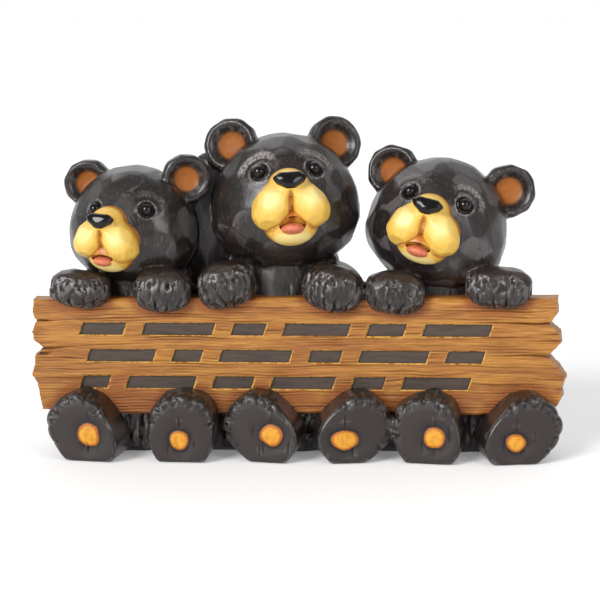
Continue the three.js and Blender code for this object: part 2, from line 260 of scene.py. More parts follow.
# Hind feet: middle of the sole, half width, half length from heel to toe, lean of the toes and turn of the
# sole in degrees, the bare pad's place and its radii
SOLE_FRONT = -0.06
SOLE_TOP = 0.051
SOLE_DEPTH = 0.037
SOLE_STEPS = 90
SOLE_SQUARENESS = 2.5
SOLE_TAPER = 0.13
SOLE_EDGE = (0.003, 0.009)
SOLE_SECTION = ((0, 1), (0.12, 0.45), (0.45, 0.12), (1, 0))
TOES = 5
TOE_SPACING = 26
TOE_BULGE = 0.0006
Foot = namedtuple("Foot", "x half full lean turn pad pad_radii")
FEET = (
    Foot(-0.157, 0.023, 0.03, -38, -10, (-0.1535, 0.02), (0.0085, 0.009)),
    Foot(-0.086, 0.024, 0.028, 0, -3, (-0.087, 0.017), (0.007, 0.0075)),
    Foot(-0.0255, 0.023, 0.029, -50, -10, (-0.0195, 0.021), (0.0085, 0.0078)),
    Foot(0.0395, 0.023, 0.029, 52, 9, (0.0345, 0.018), (0.0105, 0.007)),
    Foot(0.094, 0.0245, 0.028, -20, -9, (0.099, 0.02), (0.008, 0.008)),
    Foot(0.1615, 0.023, 0.031, 48, 9, (0.1585, 0.0165), (0.0075, 0.0068)),
)

# The haunches, each behind its foot: X against the foot's, then Y and Z. The seat joins the bodies low down.
HAUNCH_RADII = (0.025, 0.034, 0.022)
HAUNCH_SPREAD = 0.97
HAUNCH_PLACE = (-0.006, 0.019)
SEAT_MIDDLE = (0.0025, 0.011, 0.018)
SEAT_SIZE = (0.296, 0.066, 0.042)
SEAT_ROUNDING = 0.012

# Strokes of the small gouge: how many, their half widths, and their depths as shares of a fur groove's
KNUCKLE_STROKES = 46
KNUCKLE_WIDTHS = (0.0012, 0.0019)
KNUCKLE_DEPTHS = (0.6, 1.5)
PAW_BACK_DEPTHS = (0.2, 0.4)
TOE_STROKES = 40
TOE_WIDTHS = (0.0009, 0.0016)
TOE_DEPTHS = (0.25, 0.95)
WALL_STROKES = 260
WALL_WIDTHS = (0.0009, 0.0015)
WALL_DEPTHS = (0.6, 1.5)
WALL_FRONT = -0.024
BODY_STROKES = 420
BODY_WIDTHS = (0.001, 0.0018)
BODY_DEPTHS = (0.6, 1.4)
SOLE_CRACKS = 5
SOLE_CRACK_WIDTH = 0.0009
SOLE_CRACK_DEPTH = 0.0007

# How uneven the casting is all over, and the angle in degrees from which an edge is left sharp
SKIN_UNEVENNESS = 0.00025
SHARP_ANGLE = 40

# First seeds of the pieces and strokes that are cut at random
SEEDS = {
    "torso": 20, "arm": 30, "haunch": 40, "shoulder": 48, "paw": 50,
    "knuckles": 60, "sole": 80, "lobe": 90, "fur": 7,
}

# The camera and the point that it and the lights aim at
CAMERA = (0.04681, -1.36049, 0.32744)
AIM = (0.0, -0.02, 0.115)
SENSOR_WIDTH = 36
FLOOR_HEIGHT = -0.0002
KEY_FROM = (-0.9, -1.15, 0.85)
KEY_SPREAD = 30
FILL_LIGHT = ((1.0, -1.2, 0.75), 0.7)
BACK_LIGHT = ((-0.3, 0.9, 1.1), 0.9)

# Sizes of the marks in the paint. Bristle marks and wood fibres are 0.2 to 0.5 mm wide on the real piece.
# They wouldn't show in the picture, so they are drawn two to five times as coarse. Dabs are as wide as a
# small brush.
FINE_BRISTLES = 0.0015
BRISTLES = 0.002
WOOD_FIBRES = 0.0008
WOOD_BANDS = 0.005
WASH_BLOTCHES = 0.014
DABS = 0.004
SMALL_DABS = 0.003
ENAMEL_MARKS = 0.005
FLOOR_MARKS = 0.4
BRISTLE_HEIGHT = 0.0003
FIBRE_HEIGHT = 0.0004
MARK_STRENGTH = 0.4
SMOOTH = {"interpolation_type": "SMOOTHSTEP"}


def linear(code):
    """An sRGB hex colour as linear red, green and blue."""
    shares = (int(code[i : i + 2], 16) / 255 for i in (1, 3, 5))
    return tuple(s / 12.92 if s <= 0.04045 else ((s + 0.055) / 1.055) ** 2.4 for s in shares)


def colour(name, code, description):
    return bpy.props.FloatVectorProperty(
        name=name, description=description, default=linear(code), size=3, min=0, max=1, subtype="COLOR"
    )


def length(name, default, description):
    return bpy.props.FloatProperty(
        name=name, description=description, default=default,
        min=0, subtype="DISTANCE", unit="LENGTH", precision=5,
    )


class CubForm(bpy.types.PropertyGroup):
    head_facets: bpy.props.IntProperty(
        name="Head facets", description="Flat chisel cuts round each head", default=170, min=12
    )
    paw_facets: bpy.props.IntProperty(
        name="Paw facets", description="Flat chisel cuts round each forepaw", default=80, min=6
    )
    body_facets: bpy.props.IntProperty(
        name="Body facets", description="Flat chisel cuts round each body", default=90, min=6
    )
    chisel_depth: length("Chisel depth", 0.0009, "How far a chisel facet lies under the rounded form")
    fur_triangles: bpy.props.IntProperty(
        name="Fur triangles", description="Most triangles on the carved fur", default=124000, min=1000
    )
    skin_grain: length("Skin grain", 0.0012, "Size of the smallest detail on the fur")
    muzzle_grain: length("Muzzle grain", 0.0011, "Size of the smallest detail on a muzzle")
    finger_groove: length("Finger groove", 0.0015, "Depth of the parting between two fingers")
    toe_groove: length("Toe groove", 0.0006, "Depth of the parting between two toes")
    fur_groove: length("Fur groove", 0.0008, "Depth of a single fur stroke")
    socket_depth: length("Eye socket", 0.0014, "How far the socket lies under the brow")


class BoardForm(bpy.types.PropertyGroup):
    grain_depth: length("Grain depth", 0.0008, "Depth of the long grooves of the wood grain")
    grain_spacing: length("Grain spacing", 0.0022, "Distance between grooves of the grain")
    crack_depth: length("Crack depth", 0.0018, "Depth of the cracks that run in from the torn ends")
    splinter: length("Splinters", 0.0012, "How far the torn ends are ragged")
    stroke_depth: length("Stroke depth", 0.0025, "Depth of the dashes in the inscription's place")
    rim_width: length("Stroke rim", 0.0013, "Width of the slanted rim round each dash")


class Paints(bpy.types.PropertyGroup):
    fur: colour("Fur", "#1B1716", "Charcoal paint of the fur")
    fur_light: colour("Fur facets", "#565050", "Greyer charcoal on some of the chisel facets")
    fur_brown: colour("Brown wash", "#2C2019", "Brown wash over the backs of the paws and in hollows")
    fur_ridge: colour("Dry-brushed ridges", "#958E8B", "Grey paint dragged over the ridges and brows")
    fur_groove_shade: colour("Deep fur", "#0C0908", "Paint left in the grooves")
    # Painted shade: the darkest charcoal, laid in the carved grooves.
    sole: colour("Sole", "#2C2524", "Grey-brown of the soles")
    muzzle: colour("Muzzle", "#DDB046", "Yellow of the muzzles")
    # Paler yellow for the brush streaks, and painted highlight over the middle of each lobe and along the
    # lower lip.
    muzzle_streaks_and_highlight: colour("Muzzle highlight", "#EED78C", "Cream over the middle of each lobe")
    # Also laid as painted shade in the crease under the lobes.
    muzzle_edge: colour("Muzzle edge", "#A85C18", "Orange-brown airbrushed round the muzzle")
    mouth: colour("Mouth", "#451C0A", "Brown inside the mouth")
    tongue: colour("Tongue", "#CF7355", "Pink of the tongue")
    black: colour("Eye and nose", "#070606", "Gloss black of eyes and noses")
    ear: colour("Inner ear", "#8F4F0A", "Orange-brown of the ear's dish")
    ear_rim: colour("Inner ear edge", "#6E451B", "Ochre round the edge of the ear's dish")
    pad: colour("Foot pad", "#A85E0C", "Orange-yellow of the foot pads")
    pad_light: colour("Foot pad middle", "#D29428", "Yellow brushed over the middle of the foot pads")
    board: colour("Board", "#925A23", "Golden brown of the board")
    board_light: colour("Board ridges", "#B07930", "Light brown on the grain's ridges")
    board_dark: colour("Board grooves", "#58300F", "Dark brown in the grain's grooves")
    # Painted shade: darker orange-brown round the paws and feet.
    board_painted_shade: colour("Board shade", "#8A4A18", "Orange-brown airbrushed round paws and feet")
    stroke: colour("Stroke fill", "#453830", "Dark brown in the dashes")
    rim: colour("Stroke rim", "#C99A48", "Yellow line round each dash")


class StageSetup(bpy.types.PropertyGroup):
    lens: bpy.props.FloatProperty(
        name="Lens", description="Focal length of the camera", default=110, min=1, subtype="DISTANCE_CAMERA"
    )
    floor_size: length("Floor size", 120.0, "Width of the pale floor")
    sun_strength: bpy.props.FloatProperty(
        name="Key light", description="Strength of the soft key light from the left", default=2.9, min=0
    )
    fill_power: bpy.props.FloatProperty(
        name="Fill light", description="Power of the soft box to the right", default=7, min=0, unit="POWER"
    )
    back_power: bpy.props.FloatProperty(
        name="Back light", description="Power of the soft box behind", default=2, min=0, unit="POWER"
    )
    surround_back: bpy.props.FloatProperty(
        name="Background", description="Brightness of the room behind the figure", default=1.0, min=0
    )
    surround_front: bpy.props.FloatProperty(
        name="Front of the room", description="Brightness of the room in front", default=0.36, min=0
    )


def only(*pieces):
    """Selects these pieces alone, with the first of them active."""
    bpy.ops.object.select_all(action="DESELECT")
    for piece in pieces:
        piece.select_set(True)
    bpy.context.view_layer.objects.active = pieces[0]


def named(name):
    made = bpy.context.object
    made.name = name
    made.data.name = name
    return made


def add_ball(name, radii, place=(0, 0, 0), detail=5):
    bpy.ops.object.select_all(action="DESELECT")
    bpy.ops.mesh.primitive_ico_sphere_add(subdivisions=detail, radius=1, location=place, scale=radii)
    bpy.ops.object.transform_apply(location=True, rotation=True, scale=True)
    return named(name)


def apply(piece, kind, **settings):
    """Adds a modifier with its settings and applies it."""
    only(piece)
    added = piece.modifiers.new(kind.title(), kind)
    for name, value in settings.items():
        setattr(added, name, value)
    bpy.ops.object.modifier_apply(modifier=added.name)


def join(name, pieces):
    only(*pieces)
    if len(pieces) > 1:
        bpy.ops.object.join()
    return named(name)


def points_of(piece):
    points = np.empty(len(piece.data.vertices) * 3)
    piece.data.vertices.foreach_get("co", points)
    return points.reshape(-1, 3)


def move_points(piece, points):
    piece.data.vertices.foreach_set("co", np.asarray(points, float).ravel())
    piece.data.update()


def normals_of(piece):
    normals = np.empty(len(piece.data.vertices) * 3)
    piece.data.vertex_normals.foreach_get("vector", normals)
    return normals.reshape(-1, 3)


def store(piece, name, values):
    """Keeps one number for each point, for the paint to follow."""
    layer = piece.data.attributes.get(name) or piece.data.attributes.new(name, "FLOAT", "POINT")
    layer.data.foreach_set("value", np.asarray(values, np.float32))


def kept(piece, name):
    """The numbers stored for each point under that name."""
    values = np.empty(len(piece.data.vertices), np.float32)
    piece.data.attributes[name].data.foreach_get("value", values)
    return values


def step(low, high, values):
    t = np.clip((values - low) / (high - low), 0, 1)
    return t * t * (3 - 2 * t)


def ridge(values, middle, width):
    """A soft ridge: 1 in its middle, falling away on both sides over its width."""
    return np.exp(-(((values - middle) / width) ** 2))


def band(values, start, full, fading, end):
    """1 from full to fading, and 0 outside start and end."""
    return step(start, full, values) * step(end, fading, values)


def in_frame(points, matrix):
    """The points as seen in the frame that the matrix places."""
    inverse = np.array(matrix.inverted())
    return points @ inverse[:3, :3].T + inverse[:3, 3]


def transform(piece, matrix):
    piece.data.transform(matrix)
    piece.data.update()
    return piece


def loft(name, rings):
    """A closed form drawn through rings of points: a disc extruded from each ring to the next."""
    bpy.ops.object.select_all(action="DESELECT")
    bpy.ops.mesh.primitive_circle_add(vertices=len(rings[0]), fill_type="NGON")
    made = named(name)
    for vertex, point in zip(made.data.vertices, rings[0]):
        vertex.co = point
    for last, ring in zip(rings, rings[1:]):
        bpy.ops.object.mode_set(mode="EDIT")
        if last is rings[0]:
            bpy.ops.mesh.select_all(action="SELECT")
        bpy.ops.mesh.extrude_region_move()
        bpy.ops.object.mode_set(mode="OBJECT")
        for vertex in made.data.vertices:
            if vertex.select:
                nearest = min(range(len(last)), key=lambda k: (Vector(last[k]) - vertex.co).length_squared)
                vertex.co = ring[nearest]
    bpy.ops.object.mode_set(mode="EDIT")
    bpy.ops.mesh.select_all(action="SELECT")
    bpy.ops.mesh.normals_make_consistent(inside=False)
    bpy.ops.object.mode_set(mode="OBJECT")
    return made


def spread_directions(count, jitter, random):
    """Directions spread evenly round a ball, each a little off its place."""
    turn = math.pi * (3 - math.sqrt(5))
    for i in range(count):
        up = 1 - 2 * (i + 0.5) / count
        across = math.sqrt(1 - up * up)
        even = Vector((math.cos(i * turn) * across, math.sin(i * turn) * across, up))
        yield (even + Vector(random.uniform(-jitter, jitter) for _ in range(3))).normalized()


def chisel(piece, count, depth, seed, spared=None, extra=()):
    """Cuts flat facets round a piece, each by a plane just under its surface.

    spared says which directions to leave whole. extra holds further cuts as (direction, depth).
    """
    random = Random(seed)
    points = points_of(piece)
    centre = Vector((points.min(0) + points.max(0)) / 2)
    reach = float(np.ptp(points, axis=0).max())
    planes = []
    ways = [(way, depth * random.uniform(0.3, 1.7)) for way in spread_directions(count, 0.09, random)]
    if spared:
        ways = [(way, deep) for way, deep in ways if not spared(way)]
    ways += [(Vector(way).normalized(), deep) for way, deep in extra]
    for way, deep in ways:
        found, place, normal, _ = piece.ray_cast(centre + way * reach, -way)
        if found:
            planes.append((place - normal * deep, normal.copy()))
    only(piece)
    bpy.ops.object.mode_set(mode="EDIT")
    for place, normal in planes:
        bpy.ops.mesh.select_all(action="SELECT")
        bpy.ops.mesh.bisect(plane_co=place, plane_no=normal, use_fill=True, clear_outer=True)
    bpy.ops.object.mode_set(mode="OBJECT")
    return piece


def head_matrix(cub):
    rotation = (
        Matrix.Rotation(math.radians(cub.turn), 4, "Z")
        @ Matrix.Rotation(math.radians(-cub.lift), 4, "X")
        @ Matrix.Rotation(math.radians(cub.tilt), 4, "Y")
    )
    return Matrix.Translation(cub.head) @ rotation @ Matrix.Scale(cub.size, 4)


def eye_places(cub):
    """The eyes' middles in the head's own frame, just under the skull's surface."""
    wide, deep, high = SKULL_RADII
    return [(x, EYE_SINK - deep * math.sqrt(1 - (x / wide) ** 2 - (z / high) ** 2), z) for x, z in cub.eyes]


def make_skull(form, seed):
    skull = add_ball("skull", (1, 1, 1))
    points = points_of(skull)
    jowl = ridge(points[:, 2], JOWL_HEIGHT, JOWL_SPREAD)
    points *= (1 + JOWL_SWELL * jowl * abs(points[:, 0]))[:, None]
    move_points(skull, points * SKULL_RADII)
    x, y, z = BROW_CUT
    brows = [((side * x, y, z), BROW_CUT_DEPTH) for side in (-1, 1)]

    def in_face(way):
        return way.y < -FACE_FORWARD

    return chisel(skull, form.head_facets, form.chisel_depth, seed, in_face, brows)


def ear_matrix(ear):
    *place, turn = ear
    return Matrix.Translation(place) @ Matrix.Rotation(math.radians(turn), 4, "Z")


def make_ear(ear, seed):
    """A dished disc, chiselled round its rim, at its place on the head."""
    turns = [2 * math.pi * k / EAR_STEPS for k in range(EAR_STEPS)]
    rings = []
    for radius, forward in EAR_SECTION:
        rings.append([(radius * math.sin(t), -forward, radius * math.cos(t)) for t in turns])
    dish = loft("ear", rings)
    random = Random(seed)
    only(dish)
    bpy.ops.object.mode_set(mode="EDIT")
    for k in range(EAR_CUTS):
        # One cut slopes to the front, one lies along the rim and one slopes to the back.
        for forward in (random.uniform(0.35, 0.75), random.uniform(-0.1, 0.15), random.uniform(-0.8, -0.4)):
            t = 2 * math.pi * (k + random.uniform(-0.3, 0.3)) / EAR_CUTS
            way = Vector((math.sin(t), -forward, math.cos(t))).normalized()
            reach = EAR_REACH - random.uniform(0.0002, 0.0012)
            bpy.ops.mesh.select_all(action="SELECT")
            bpy.ops.mesh.bisect(plane_co=way * reach, plane_no=way, use_fill=True, clear_outer=True)
    bpy.ops.object.mode_set(mode="OBJECT")
    return transform(dish, ear_matrix(ear))


class CUBS_OT_heads(bpy.types.Operator):
    """Cut the three faceted heads with their ears"""

    bl_idname = "cubs.heads"
    bl_label = "Heads"

    def execute(self, context):
        form = context.scene.cub_form
        for index, cub in enumerate(CUBS):
            pieces = [make_skull(form, index)]
            for side, ear in enumerate(cub.ears):
                pieces.append(make_ear(ear, 10 * index + side))
            transform(join(f"head_{index}", pieces), head_matrix(cub))
        return {"FINISHED"}


def body_place(cub, radius, height, turn):
    """A place on a body, by shares of the hips' radius and the neck's height, and the turn round it."""
    x, _, z = cub.head
    neck = z - NECK_DROP
    reach = radius * BODY_HIPS
    return x + reach * math.cos(turn), BODY_Y + BODY_DEPTH * reach * math.sin(turn), height * neck


def make_torso(cub, form, seed):
    turns = [2 * math.pi * k / BODY_STEPS for k in range(BODY_STEPS)]
    rings = [[body_place(cub, radius, height, t) for t in turns] for radius, height in BODY_PROFILE]
    torso = loft("torso", rings)
    return chisel(torso, form.body_facets, form.chisel_depth, seed, lambda way: way.z < -0.5)


def make_arm(start, end, seed):
    start, end = Vector(start), Vector(end)
    along = end - start
    arm = add_ball("arm", (ARM_RADIUS, ARM_RADIUS, along.length / 2 + ARM_OVERRUN))
    chisel(arm, LIMB_FACETS, ARM_CHISEL, seed)
    turned = along.to_track_quat("Z", "Y").to_matrix().to_4x4()
    return transform(arm, Matrix.Translation((start + end) / 2) @ turned)


class CUBS_OT_bodies(bpy.types.Operator):
    """Cut the bodies, arms and haunches, and the low wall between the feet"""

    bl_idname = "cubs.bodies"
    bl_label = "Bodies"

    def execute(self, context):
        form = context.scene.cub_form
        pieces = [make_torso(cub, form, SEEDS["torso"] + k) for k, cub in enumerate(CUBS)]
        pieces += [make_arm(*ends, SEEDS["arm"] + k) for k, ends in enumerate(ARMS)]
        for k, foot in enumerate(FEET):
            haunch = add_ball("haunch", HAUNCH_RADII)
            chisel(haunch, LIMB_FACETS, LIMB_CHISEL, SEEDS["haunch"] + k)
            pieces.append(transform(haunch, Matrix.Translation((foot.x * HAUNCH_SPREAD, *HAUNCH_PLACE))))
        shoulder = add_ball("shoulder", SHOULDER_RADII)
        chisel(shoulder, SHOULDER_FACETS, LIMB_CHISEL, SEEDS["shoulder"])
        pieces.append(transform(shoulder, Matrix.Translation(SHOULDER)))
        bpy.ops.object.select_all(action="DESELECT")
        bpy.ops.mesh.primitive_cube_add(size=1, location=SEAT_MIDDLE, scale=SEAT_SIZE)
        bpy.ops.object.transform_apply(location=True, rotation=True, scale=True)
        seat = named("seat")
        apply(seat, "BEVEL", width=SEAT_ROUNDING, segments=3, limit_method="ANGLE")
        join("bodies", [*pieces, seat])
        return {"FINISHED"}


class CUBS_OT_paws(bpy.types.Operator):
    """Cut the six forepaws that hook over the board"""

    bl_idname = "cubs.paws"
    bl_label = "Forepaws"

    def execute(self, context):
        form = context.scene.cub_form
        pieces = []
        for k, (place, radii, lean) in enumerate(PAWS):
            paw = add_ball("paw", (1, 1, 1))
            points = points_of(paw)
            reach = (abs(points) ** PAW_SQUARENESS).sum(1) ** (-1 / PAW_SQUARENESS)
            move_points(paw, points * reach[:, None] * PAW_FIT * radii)
            chisel(paw, form.paw_facets, LIMB_CHISEL, SEEDS["paw"] + k)
            turned = Matrix.Translation(place) @ Matrix.Rotation(math.radians(lean), 4, "Y")
            pieces.append(transform(paw, turned))
        join("paws", pieces)
        return {"FINISHED"}


def sole_reach(half, full, angle):
    """How far a sole's edge reaches at an angle from the toes, where it is a little scalloped."""
    power = SOLE_SQUARENESS
    edge = (abs(math.sin(angle) / half) ** power + abs(math.cos(angle) / full) ** power) ** (-1 / power)
    toe = angle / math.radians(TOE_SPACING)
    scallop = TOE_BULGE * (1 + math.cos(2 * math.pi * toe)) / 2 if abs(toe) < TOES / 2 else 0
    return edge * (1 + SOLE_TAPER * math.cos(angle)) + scallop


def foot_frame(foot):
    """The foot's own frame, with its sole in the plane Y = 0 and its middle at the height given with it."""
    angles = [math.radians(a) for a in range(-180, 180)]
    lean, turn = math.radians(foot.lean), math.radians(foot.turn)
    tops = [sole_reach(foot.half, foot.full, a) * math.cos(a + lean) for a in angles]
    forward = SOLE_FRONT + abs(math.sin(turn)) * foot.half / 2
    return Matrix.Translation((foot.x, forward, 0)) @ Matrix.Rotation(turn, 4, "Z"), SOLE_TOP - max(tops)


def edge_band(angle):
    """Width of the rounded edge round a sole: broad at the toes and narrow at the heel."""
    narrow, broad = SOLE_EDGE
    return narrow + (broad - narrow) * float(step(-0.1, 0.7, math.cos(angle)))


def make_foot(foot):
    matrix, middle = foot_frame(foot)
    angles = [2 * math.pi * k / SOLE_STEPS - math.pi for k in range(SOLE_STEPS)]
    rings = []
    for share_in, share_back in ((0, None), *SOLE_SECTION):
        ring = []
        for angle in angles:
            inset = share_in * edge_band(angle)
            back = SOLE_DEPTH if share_back is None else share_back * edge_band(angle)
            reach = sole_reach(foot.half, foot.full, angle) - inset
            leaned = angle + math.radians(foot.lean)
            height = middle + reach * math.cos(leaned)
            ring.append((reach * math.sin(leaned), back, max(height, inset)))
        rings.append(ring)
    return transform(loft("foot", rings), matrix)


class CUBS_OT_feet(bpy.types.Operator):
    """Cut the six hind feet with their flat soles to the front"""

    bl_idname = "cubs.feet"
    bl_label = "Hind feet"

    def execute(self, context):
        join("feet", [make_foot(foot) for foot in FEET])
        return {"FINISHED"}


class Skin:
    """A fused piece's points and normals, which the carving moves many at a time."""

    def __init__(self, piece):
        self.piece = piece
        self.points = points_of(piece)
        self.normals = normals_of(piece)
        ends = np.empty(len(piece.data.edges) * 2, np.int64)
        piece.data.edges.foreach_get("vertices", ends)
        self.ends = ends.reshape(-1, 2)
        self.sunk = np.zeros(len(self.points))

    def sink(self, depths):
        self.points -= self.normals * depths[:, None]
        self.sunk += depths

    def finish(self):
        move_points(self.piece, self.points)
        self.normals = normals_of(self.piece)

    def averaged(self, values, rounds):
        """Each point's value blended with its neighbours' again and again."""
        first, second = self.ends.T
        count = np.bincount(self.ends.ravel(), minlength=len(values)).astype(float)
        for _ in range(rounds):
            total = np.empty_like(values)
            for axis in range(values.shape[1]):
                column = values[:, axis]
                total[:, axis] = np.bincount(first, column[second], len(values))
                total[:, axis] += np.bincount(second, column[first], len(values))
            values = (values + total / count[:, None]) / 2
        return values

    def relief(self, rounds, height):
        """How far each point stands out, from -1 to 1: mostly by the carving, a little by its shape."""
        smooth = self.averaged(np.column_stack([self.points, self.sunk]), rounds)
        proud = ((self.points - smooth[:, :3]) * self.normals).sum(1)
        carved = smooth[:, 3] - self.sunk
        return np.clip((carved + 0.45 * proud) / height, -1, 1)

    def gouge(self, start, end, half_width, depth):
        """One stroke of a veiner, a small V-shaped gouge, that fades out at both ends."""
        start, end = np.array(start), np.array(end)
        middle = (start + end) / 2
        span = np.linalg.norm(end - start)
        near = np.flatnonzero(((self.points - middle) ** 2).sum(1) < (span / 2 + half_width) ** 2)
        if not len(near):
            return
        out = self.normals[near].mean(0)
        out /= np.linalg.norm(out) + 1e-9
        along = end - start
        along -= out * (along @ out)
        reach = np.linalg.norm(along)
        if reach < 0.8 * span:
            return
        along /= reach
        offset = self.points[near] - start
        run = offset @ along
        across = offset @ np.cross(out, along)
        fade = step(0, 0.25, run / reach) * (1 - step(0.7, 1, run / reach))
        facing = step(0.1, 0.5, self.normals[near] @ out)
        deep = depth * np.clip(1 - abs(across) / half_width, 0, 1) * fade * facing
        self.points[near] -= self.normals[near] * deep[:, None]
        self.sunk[near] += deep


def carve_sockets(skin, form):
    """Cuts a ring round each eye, raises the brow over it and keeps where the brow is brushed grey."""
    brows = np.zeros(len(skin.points))
    for cub in CUBS:
        local = in_frame(skin.points, head_matrix(cub))
        for side, place, grey in zip((-1, 1), eye_places(cub), cub.brows):
            from_eye = local - place
            away = np.linalg.norm(from_eye, axis=1)
            lid = LID_SHARE * ridge(away, *LID_RING)
            skin.sink(form.socket_depth * (ridge(away, *SOCKET_RING) - lid))
            turn = np.degrees(np.arctan2(side * from_eye[:, 0], from_eye[:, 2]))
            brow = band(away, *BROW_BAND) * band(turn, *BROW_FAN)
            skin.sink(-BROW_RISE * brow * grey)
            brows = np.maximum(brows, brow * grey)
    store(skin.piece, "brow", brows)


def scratch_knuckles(skin, form, paw, random):
    """Short strokes down a forepaw: shallow ones on its back and deep ones on its knuckles."""
    place, radii, lean = paw
    for row in range(KNUCKLE_STROKES):
        on_back = row % 6 == 0
        round_to = math.radians(random.uniform(-80, 80))
        top = math.radians(random.uniform(18, 45) if on_back else random.uniform(46, 84))
        ends = []
        for polar in (top, top + math.radians(random.uniform(17, 32))):
            aside = round_to + math.radians(random.uniform(-6, 6))
            out = math.sin(polar)
            way = (math.sin(aside) * out, -math.cos(aside) * out, math.cos(polar))
            shaped = Vector(a * b for a, b in zip(way, radii))
            ends.append(Vector(place) + Matrix.Rotation(math.radians(lean), 3, "Y") @ shaped)
        strength = random.uniform(*(PAW_BACK_DEPTHS if on_back else KNUCKLE_DEPTHS))
        skin.gouge(*ends, random.uniform(*KNUCKLE_WIDTHS), form.fur_groove * strength)


def carve_fingers(skin, form):
    """Parts each forepaw into fingers, cuts strokes over it and keeps where it is washed brown."""
    washed = np.zeros(len(skin.points))
    for k, paw in enumerate(PAWS):
        place, radii, lean = paw
        turned = np.array(Matrix.Rotation(math.radians(lean), 3, "Y"))
        # From here on, places are shares of the paw's radii.
        local = (skin.points - place) @ turned / radii
        reach = np.linalg.norm(local, axis=1)
        on_paw = ridge(reach, 1, 0.12) * step(0.3, -0.1, local[:, 1])
        round_front = np.degrees(np.arctan2(local[:, 0], -local[:, 1])) / FINGER_SPACING
        waver = np.array([noise.noise(Vector((p[0] * 2, p[2] * 3, k))) for p in local])
        finger = round_front + 0.5 * (FINGERS % 2) + 0.3 * waver
        part = abs(finger - np.round(finger))
        fan = step(FINGERS / 2 + 0.1, FINGERS / 2 - 0.1, abs(round_front))
        low = step(-0.05 + 0.25 * waver, -0.45, local[:, 2])
        cleft = ridge(part, 0, 0.07) + 0.2 * ridge(part, 0, 0.25)
        skin.sink(form.finger_groove * cleft * low * fan * on_paw)
        washed = np.maximum(washed, step(1.35, 1.1, reach) * step(0.1, 0.75, local[:, 2]))
        scratch_knuckles(skin, form, paw, Random(SEEDS["knuckles"] + k))
    store(skin.piece, "wash", washed)


def scratch_sole(skin, form, foot, random):
    """Strokes over the toes' ends, and a few drying cracks in the sole, the first of them above the pad."""
    matrix, middle = foot_frame(foot)
    for _ in range(TOE_STROKES):
        out = math.radians(random.uniform(-TOES / 2 - 0.2, TOES / 2 + 0.2) * TOE_SPACING + foot.lean)
        far = sole_reach(foot.half, foot.full, out - math.radians(foot.lean))
        low = random.uniform(0.68, 0.84)
        ends = []
        for share_out, back in ((low, 0.001), (low + 0.13, 0.002)):
            aside = out + math.radians(random.uniform(-6, 6))
            reach = far * share_out
            ends.append(matrix @ Vector((reach * math.sin(aside), back, middle + reach * math.cos(aside))))
        skin.gouge(*ends, random.uniform(*TOE_WIDTHS), form.fur_groove * random.uniform(*TOE_DEPTHS))
    for crack in range(SOLE_CRACKS):
        x = foot.pad[0] + random.uniform(-0.7, 0.7) * foot.half * (crack > 0)
        low = foot.pad[1] + 1.15 * foot.pad_radii[1] if crack == 0 else random.uniform(0.003, 0.02)
        long = random.uniform(0.008, 0.015)
        ends = ((x, SOLE_FRONT, low), (x + random.uniform(-0.001, 0.001), SOLE_FRONT, low + long))
        skin.gouge(*ends, SOLE_CRACK_WIDTH, SOLE_CRACK_DEPTH)


def carve_soles(skin, form):
    """Parts the toes, sinks a dimple round each pad and keeps where soles and pads are painted."""
    pads = np.zeros(len(skin.points))
    soles = np.zeros(len(skin.points))
    turns = np.linspace(-math.pi, math.pi, 361)
    for k, foot in enumerate(FEET):
        matrix, middle = foot_frame(foot)
        local = in_frame(skin.points, matrix)
        across, back, up = local[:, 0], local[:, 1], local[:, 2] - middle
        angle = np.arctan2(across, up) - math.radians(foot.lean)
        angle = (angle + math.pi) % (2 * math.pi) - math.pi
        toe = np.degrees(angle) / TOE_SPACING
        part = abs(abs(toe - np.round(toe)) - 0.5)
        fan = step(TOES / 2 + 0.1, TOES / 2 - 0.1, abs(toe))
        edge = np.array([sole_reach(foot.half, foot.full, a) for a in turns])
        share = np.hypot(across, up) / np.interp(angle, turns, edge)
        on_foot = step(1.15, 1.1, share)
        cleft = ridge(part, 0, 0.09) + 0.35 * ridge(part, 0, 0.25)
        front = step(0.016, 0.012, back) * on_foot
        skin.sink(form.toe_groove * cleft * fan * front * step(0.72, 0.86, share))
        pad_x, pad_z = foot.pad
        wide, high = foot.pad_radii
        from_pad = np.hypot((across - pad_x + foot.x) / wide, (local[:, 2] - pad_z) / high)
        from_pad += 0.17 * np.array([noise.noise(Vector((p[0] * 110, p[2] * 110, k))) for p in local])
        on_sole = step(0.006, 0.003, back) * on_foot
        dimple = 0.0012 * step(2.0, 1.1, from_pad) - 0.0016 * step(1.1, 0.6, from_pad)
        skin.sink(on_sole * dimple)
        pads = np.maximum(pads, on_sole * step(1.12, 0.75, from_pad))
        soles = np.maximum(soles, step(0.0035, 0.001, back) * step(0.95, 0.8, share))
        scratch_sole(skin, form, foot, Random(SEEDS["sole"] + k))
    store(skin.piece, "pad", pads)
    store(skin.piece, "sole", soles)


